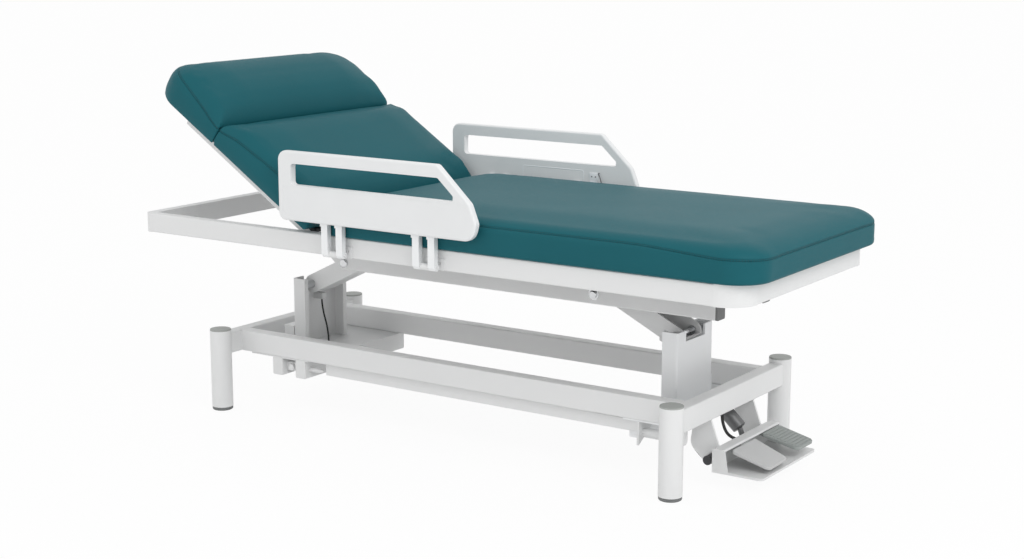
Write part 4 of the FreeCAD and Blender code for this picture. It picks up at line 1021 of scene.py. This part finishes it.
class TABLE_OT_backrest(bpy.types.Operator):
    """Make the backrest cushion and the head pillow."""

    bl_idname = "table.backrest"
    bl_label = "Backrest cushions"

    CUSHION_HEAD, CUSHION_FOOT = -0.4005, -0.0125
    CUSHION_CORNERS = (0.006, 0.010, 0.010, 0.006)
    CUSHION_ROLLS = (0.026, 0.040, 0.028)
    CUSHION_DIPS = (0.018, 0.018)
    CUSHION_SLIDE = (-0.40, 0.001, -0.15, 0.014)
    PILLOW_HEAD, PILLOW_FOOT = -0.663, -0.4010
    PILLOW_CORNERS = (0.085, 0.006, 0.006, 0.115)
    PILLOW_ROLLS = (0.050, 0.042, 0.040)
    PILLOW_DIPS = (0.004, 0.016)
    PILLOW_SLIDE = (-0.62, 0.026, -0.41, 0.0)

    def execute(self, context):
        shape = settings().cushions
        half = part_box("backrest_cushion")[1].y
        turn = Matrix.Translation(HINGE) @ Matrix.Rotation(math.radians(BACK_ANGLE), 4, "Y")
        cushion = Pad(self.CUSHION_HEAD, self.CUSHION_FOOT, half, PAD_BASE, self.CUSHION_CORNERS,
                      self.CUSHION_ROLLS, shape.back_rise, shape.back_crown, self.CUSHION_DIPS,
                      self.CUSHION_SLIDE)
        make_pad("backrest_pad", cushion, "backrest_cushion", "backrest", turn)
        pillow = Pad(self.PILLOW_HEAD, self.PILLOW_FOOT, half, PAD_BASE, self.PILLOW_CORNERS,
                     self.PILLOW_ROLLS, shape.pillow_rise, shape.pillow_crown, self.PILLOW_DIPS,
                     self.PILLOW_SLIDE, step=0.010)
        make_pad("pillow_pad", pillow, "head_pillow", "backrest", turn)
        return {"FINISHED"}


class TABLE_OT_guard_fittings(bpy.types.Operator):
    """Make the small fittings on the inner face of the back guard, and their twins on the front guard."""

    bl_idname = "table.guard_fittings"
    bl_label = "Guard fittings"

    STRIP_HEAD, STRIP_FOOT = -0.162, 0.048
    STRIP_LOW, STRIP_HIGH = 0.640, 0.674
    STRIP_BEND, STRIP_STEPS = 0.006, 6
    # Across the strip and out from the guard
    STRIP_BEAD = ((-0.0014, 0.0), (-0.0007, 0.0006), (0.0007, 0.0006), (0.0014, 0.0))
    STRIP_CLEARANCE = 0.00005
    CATCH_X, CATCH_Z = 0.083, 0.660
    CATCH_HALF_WIDTH, CATCH_BELOW, CATCH_ABOVE = 0.014, 0.020, 0.010
    CATCH_DEPTH, CATCH_EDGE = 0.0022, 0.0009
    SCREW_FOOT, SCREW_HEAD, SCREW_DEPTH = 0.0021, 0.0016, 0.0012
    SCREW_SIDE, SCREW_DROP, SCREW_OUT = 0.006, 0.001, 0.0028
    # Along the guard, out from it and up, from the catch
    HOOK = ((0.018, 0.0, 0.010), (0.018, 0.008, 0.011), (0.024, 0.010, 0.004), (0.028, 0.009, -0.008),
            (0.028, 0.005, -0.019), (0.028, 0.0, -0.020))
    HOOK_RADIUS = 0.0014

    def execute(self, context):
        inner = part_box("guard_back_panel")[0].y
        for body, face, way in (("guard_back", inner, -1.0), ("guard_front", -inner, 1.0)):
            self.strip(body, face, way)
            self.catch(body, face, way)
        return {"FINISHED"}

    def strip(self, body, face, way):
        """Shallow moulded frame round a plain field."""
        plastic = bpy.data.materials["white_plastic"]
        x0, x1, z0, z1 = self.STRIP_HEAD, self.STRIP_FOOT, self.STRIP_LOW, self.STRIP_HIGH
        bend = self.STRIP_BEND
        ring = []
        for i, (x, z) in enumerate(((x0, z0), (x1, z0), (x1, z1), (x0, z1))):
            cx = x + (bend if i in (0, 3) else -bend)
            cz = z + (bend if i in (0, 1) else -bend)
            for k in range(self.STRIP_STEPS + 1):
                angle = math.radians(ARC_STARTS[i]) + math.radians(90.0 / self.STRIP_STEPS * k)
                nx, nz = math.cos(angle), math.sin(angle)
                ring.append((cx + bend * nx, cz + bend * nz, nx, nz))
        build = bmesh.new()
        rows = []
        for out, rise in self.STRIP_BEAD:
            y = face + way * (rise + self.STRIP_CLEARANCE)
            rows.append([build.verts.new((x + nx * out, y, z + nz * out)) for x, z, nx, nz in ring])
        count = len(ring)
        for low, high in zip(rows, rows[1:]):
            for k in range(count):
                n = (k + 1) % count
                build.faces.new((low[k], low[n], high[n], high[k]))
        bmesh.ops.recalc_face_normals(build, faces=build.faces)
        new_piece(body + "_field", build, body, "white_plastic", plastic)

    def catch(self, body, face, way):
        """Catch plate with two screws and a wire hook."""
        x, z = self.CATCH_X, self.CATCH_Z
        build = bmesh.new()
        reach = face + way * self.CATCH_DEPTH
        low = (x - self.CATCH_HALF_WIDTH, min(face, reach), z - self.CATCH_BELOW)
        high = (x + self.CATCH_HALF_WIDTH, max(face, reach), z + self.CATCH_ABOVE)
        rounded_block(build, low, high, self.CATCH_EDGE)
        new_piece(body + "_catch", build, body, "white_plastic", bpy.data.materials["white_plastic"])
        screws = bmesh.new()
        for side in (-self.SCREW_SIDE, self.SCREW_SIDE):
            made = bmesh.ops.create_cone(screws, cap_ends=True, segments=16, radius1=self.SCREW_FOOT,
                                         radius2=self.SCREW_HEAD, depth=self.SCREW_DEPTH)["verts"]
            for vert in made:
                out = face + way * (self.SCREW_OUT + vert.co.z)
                vert.co = Vector((x + side + vert.co.x, out, z - self.SCREW_DROP + vert.co.y))
        new_piece(body + "_catch_screws", screws, body, "dark_steel", bpy.data.materials["dark_steel"])
        hook = [(x + along, face + way * out, z + up) for along, out, up in self.HOOK]
        tube(body + "_hook", hook, self.HOOK_RADIUS, body, bpy.data.materials["dark_steel"])


class TABLE_PT_panel(bpy.types.Panel):
    """Lists the pieces of the table."""

    bl_idname = "TABLE_PT_panel"
    bl_label = "Examination table"
    bl_space_type = "VIEW_3D"
    bl_region_type = "UI"
    bl_category = "Table"

    def draw(self, context):
        for step in STEPS:
            self.layout.operator(step.bl_idname)


STEPS = (TABLE_OT_stage, TABLE_OT_metalwork, TABLE_OT_cut_parts, TABLE_OT_mouldings, TABLE_OT_hoses,
         TABLE_OT_seat, TABLE_OT_backrest, TABLE_OT_guard_fittings)
CLASSES = (TableColours, TableCushions, TableStage, TableSettings, *STEPS, TABLE_PT_panel)


def register():
    for cls in CLASSES:
        bpy.utils.register_class(cls)
    bpy.types.Scene.table_settings = PointerProperty(type=TableSettings)


def unregister():
    del bpy.types.Scene.table_settings
    for cls in reversed(CLASSES):
        bpy.utils.unregister_class(cls)


def main():
    register()
    for step in STEPS:
        group, action = step.bl_idname.split(".")
        getattr(getattr(bpy.ops, group), action)()


if __name__ == "__main__":
    main()
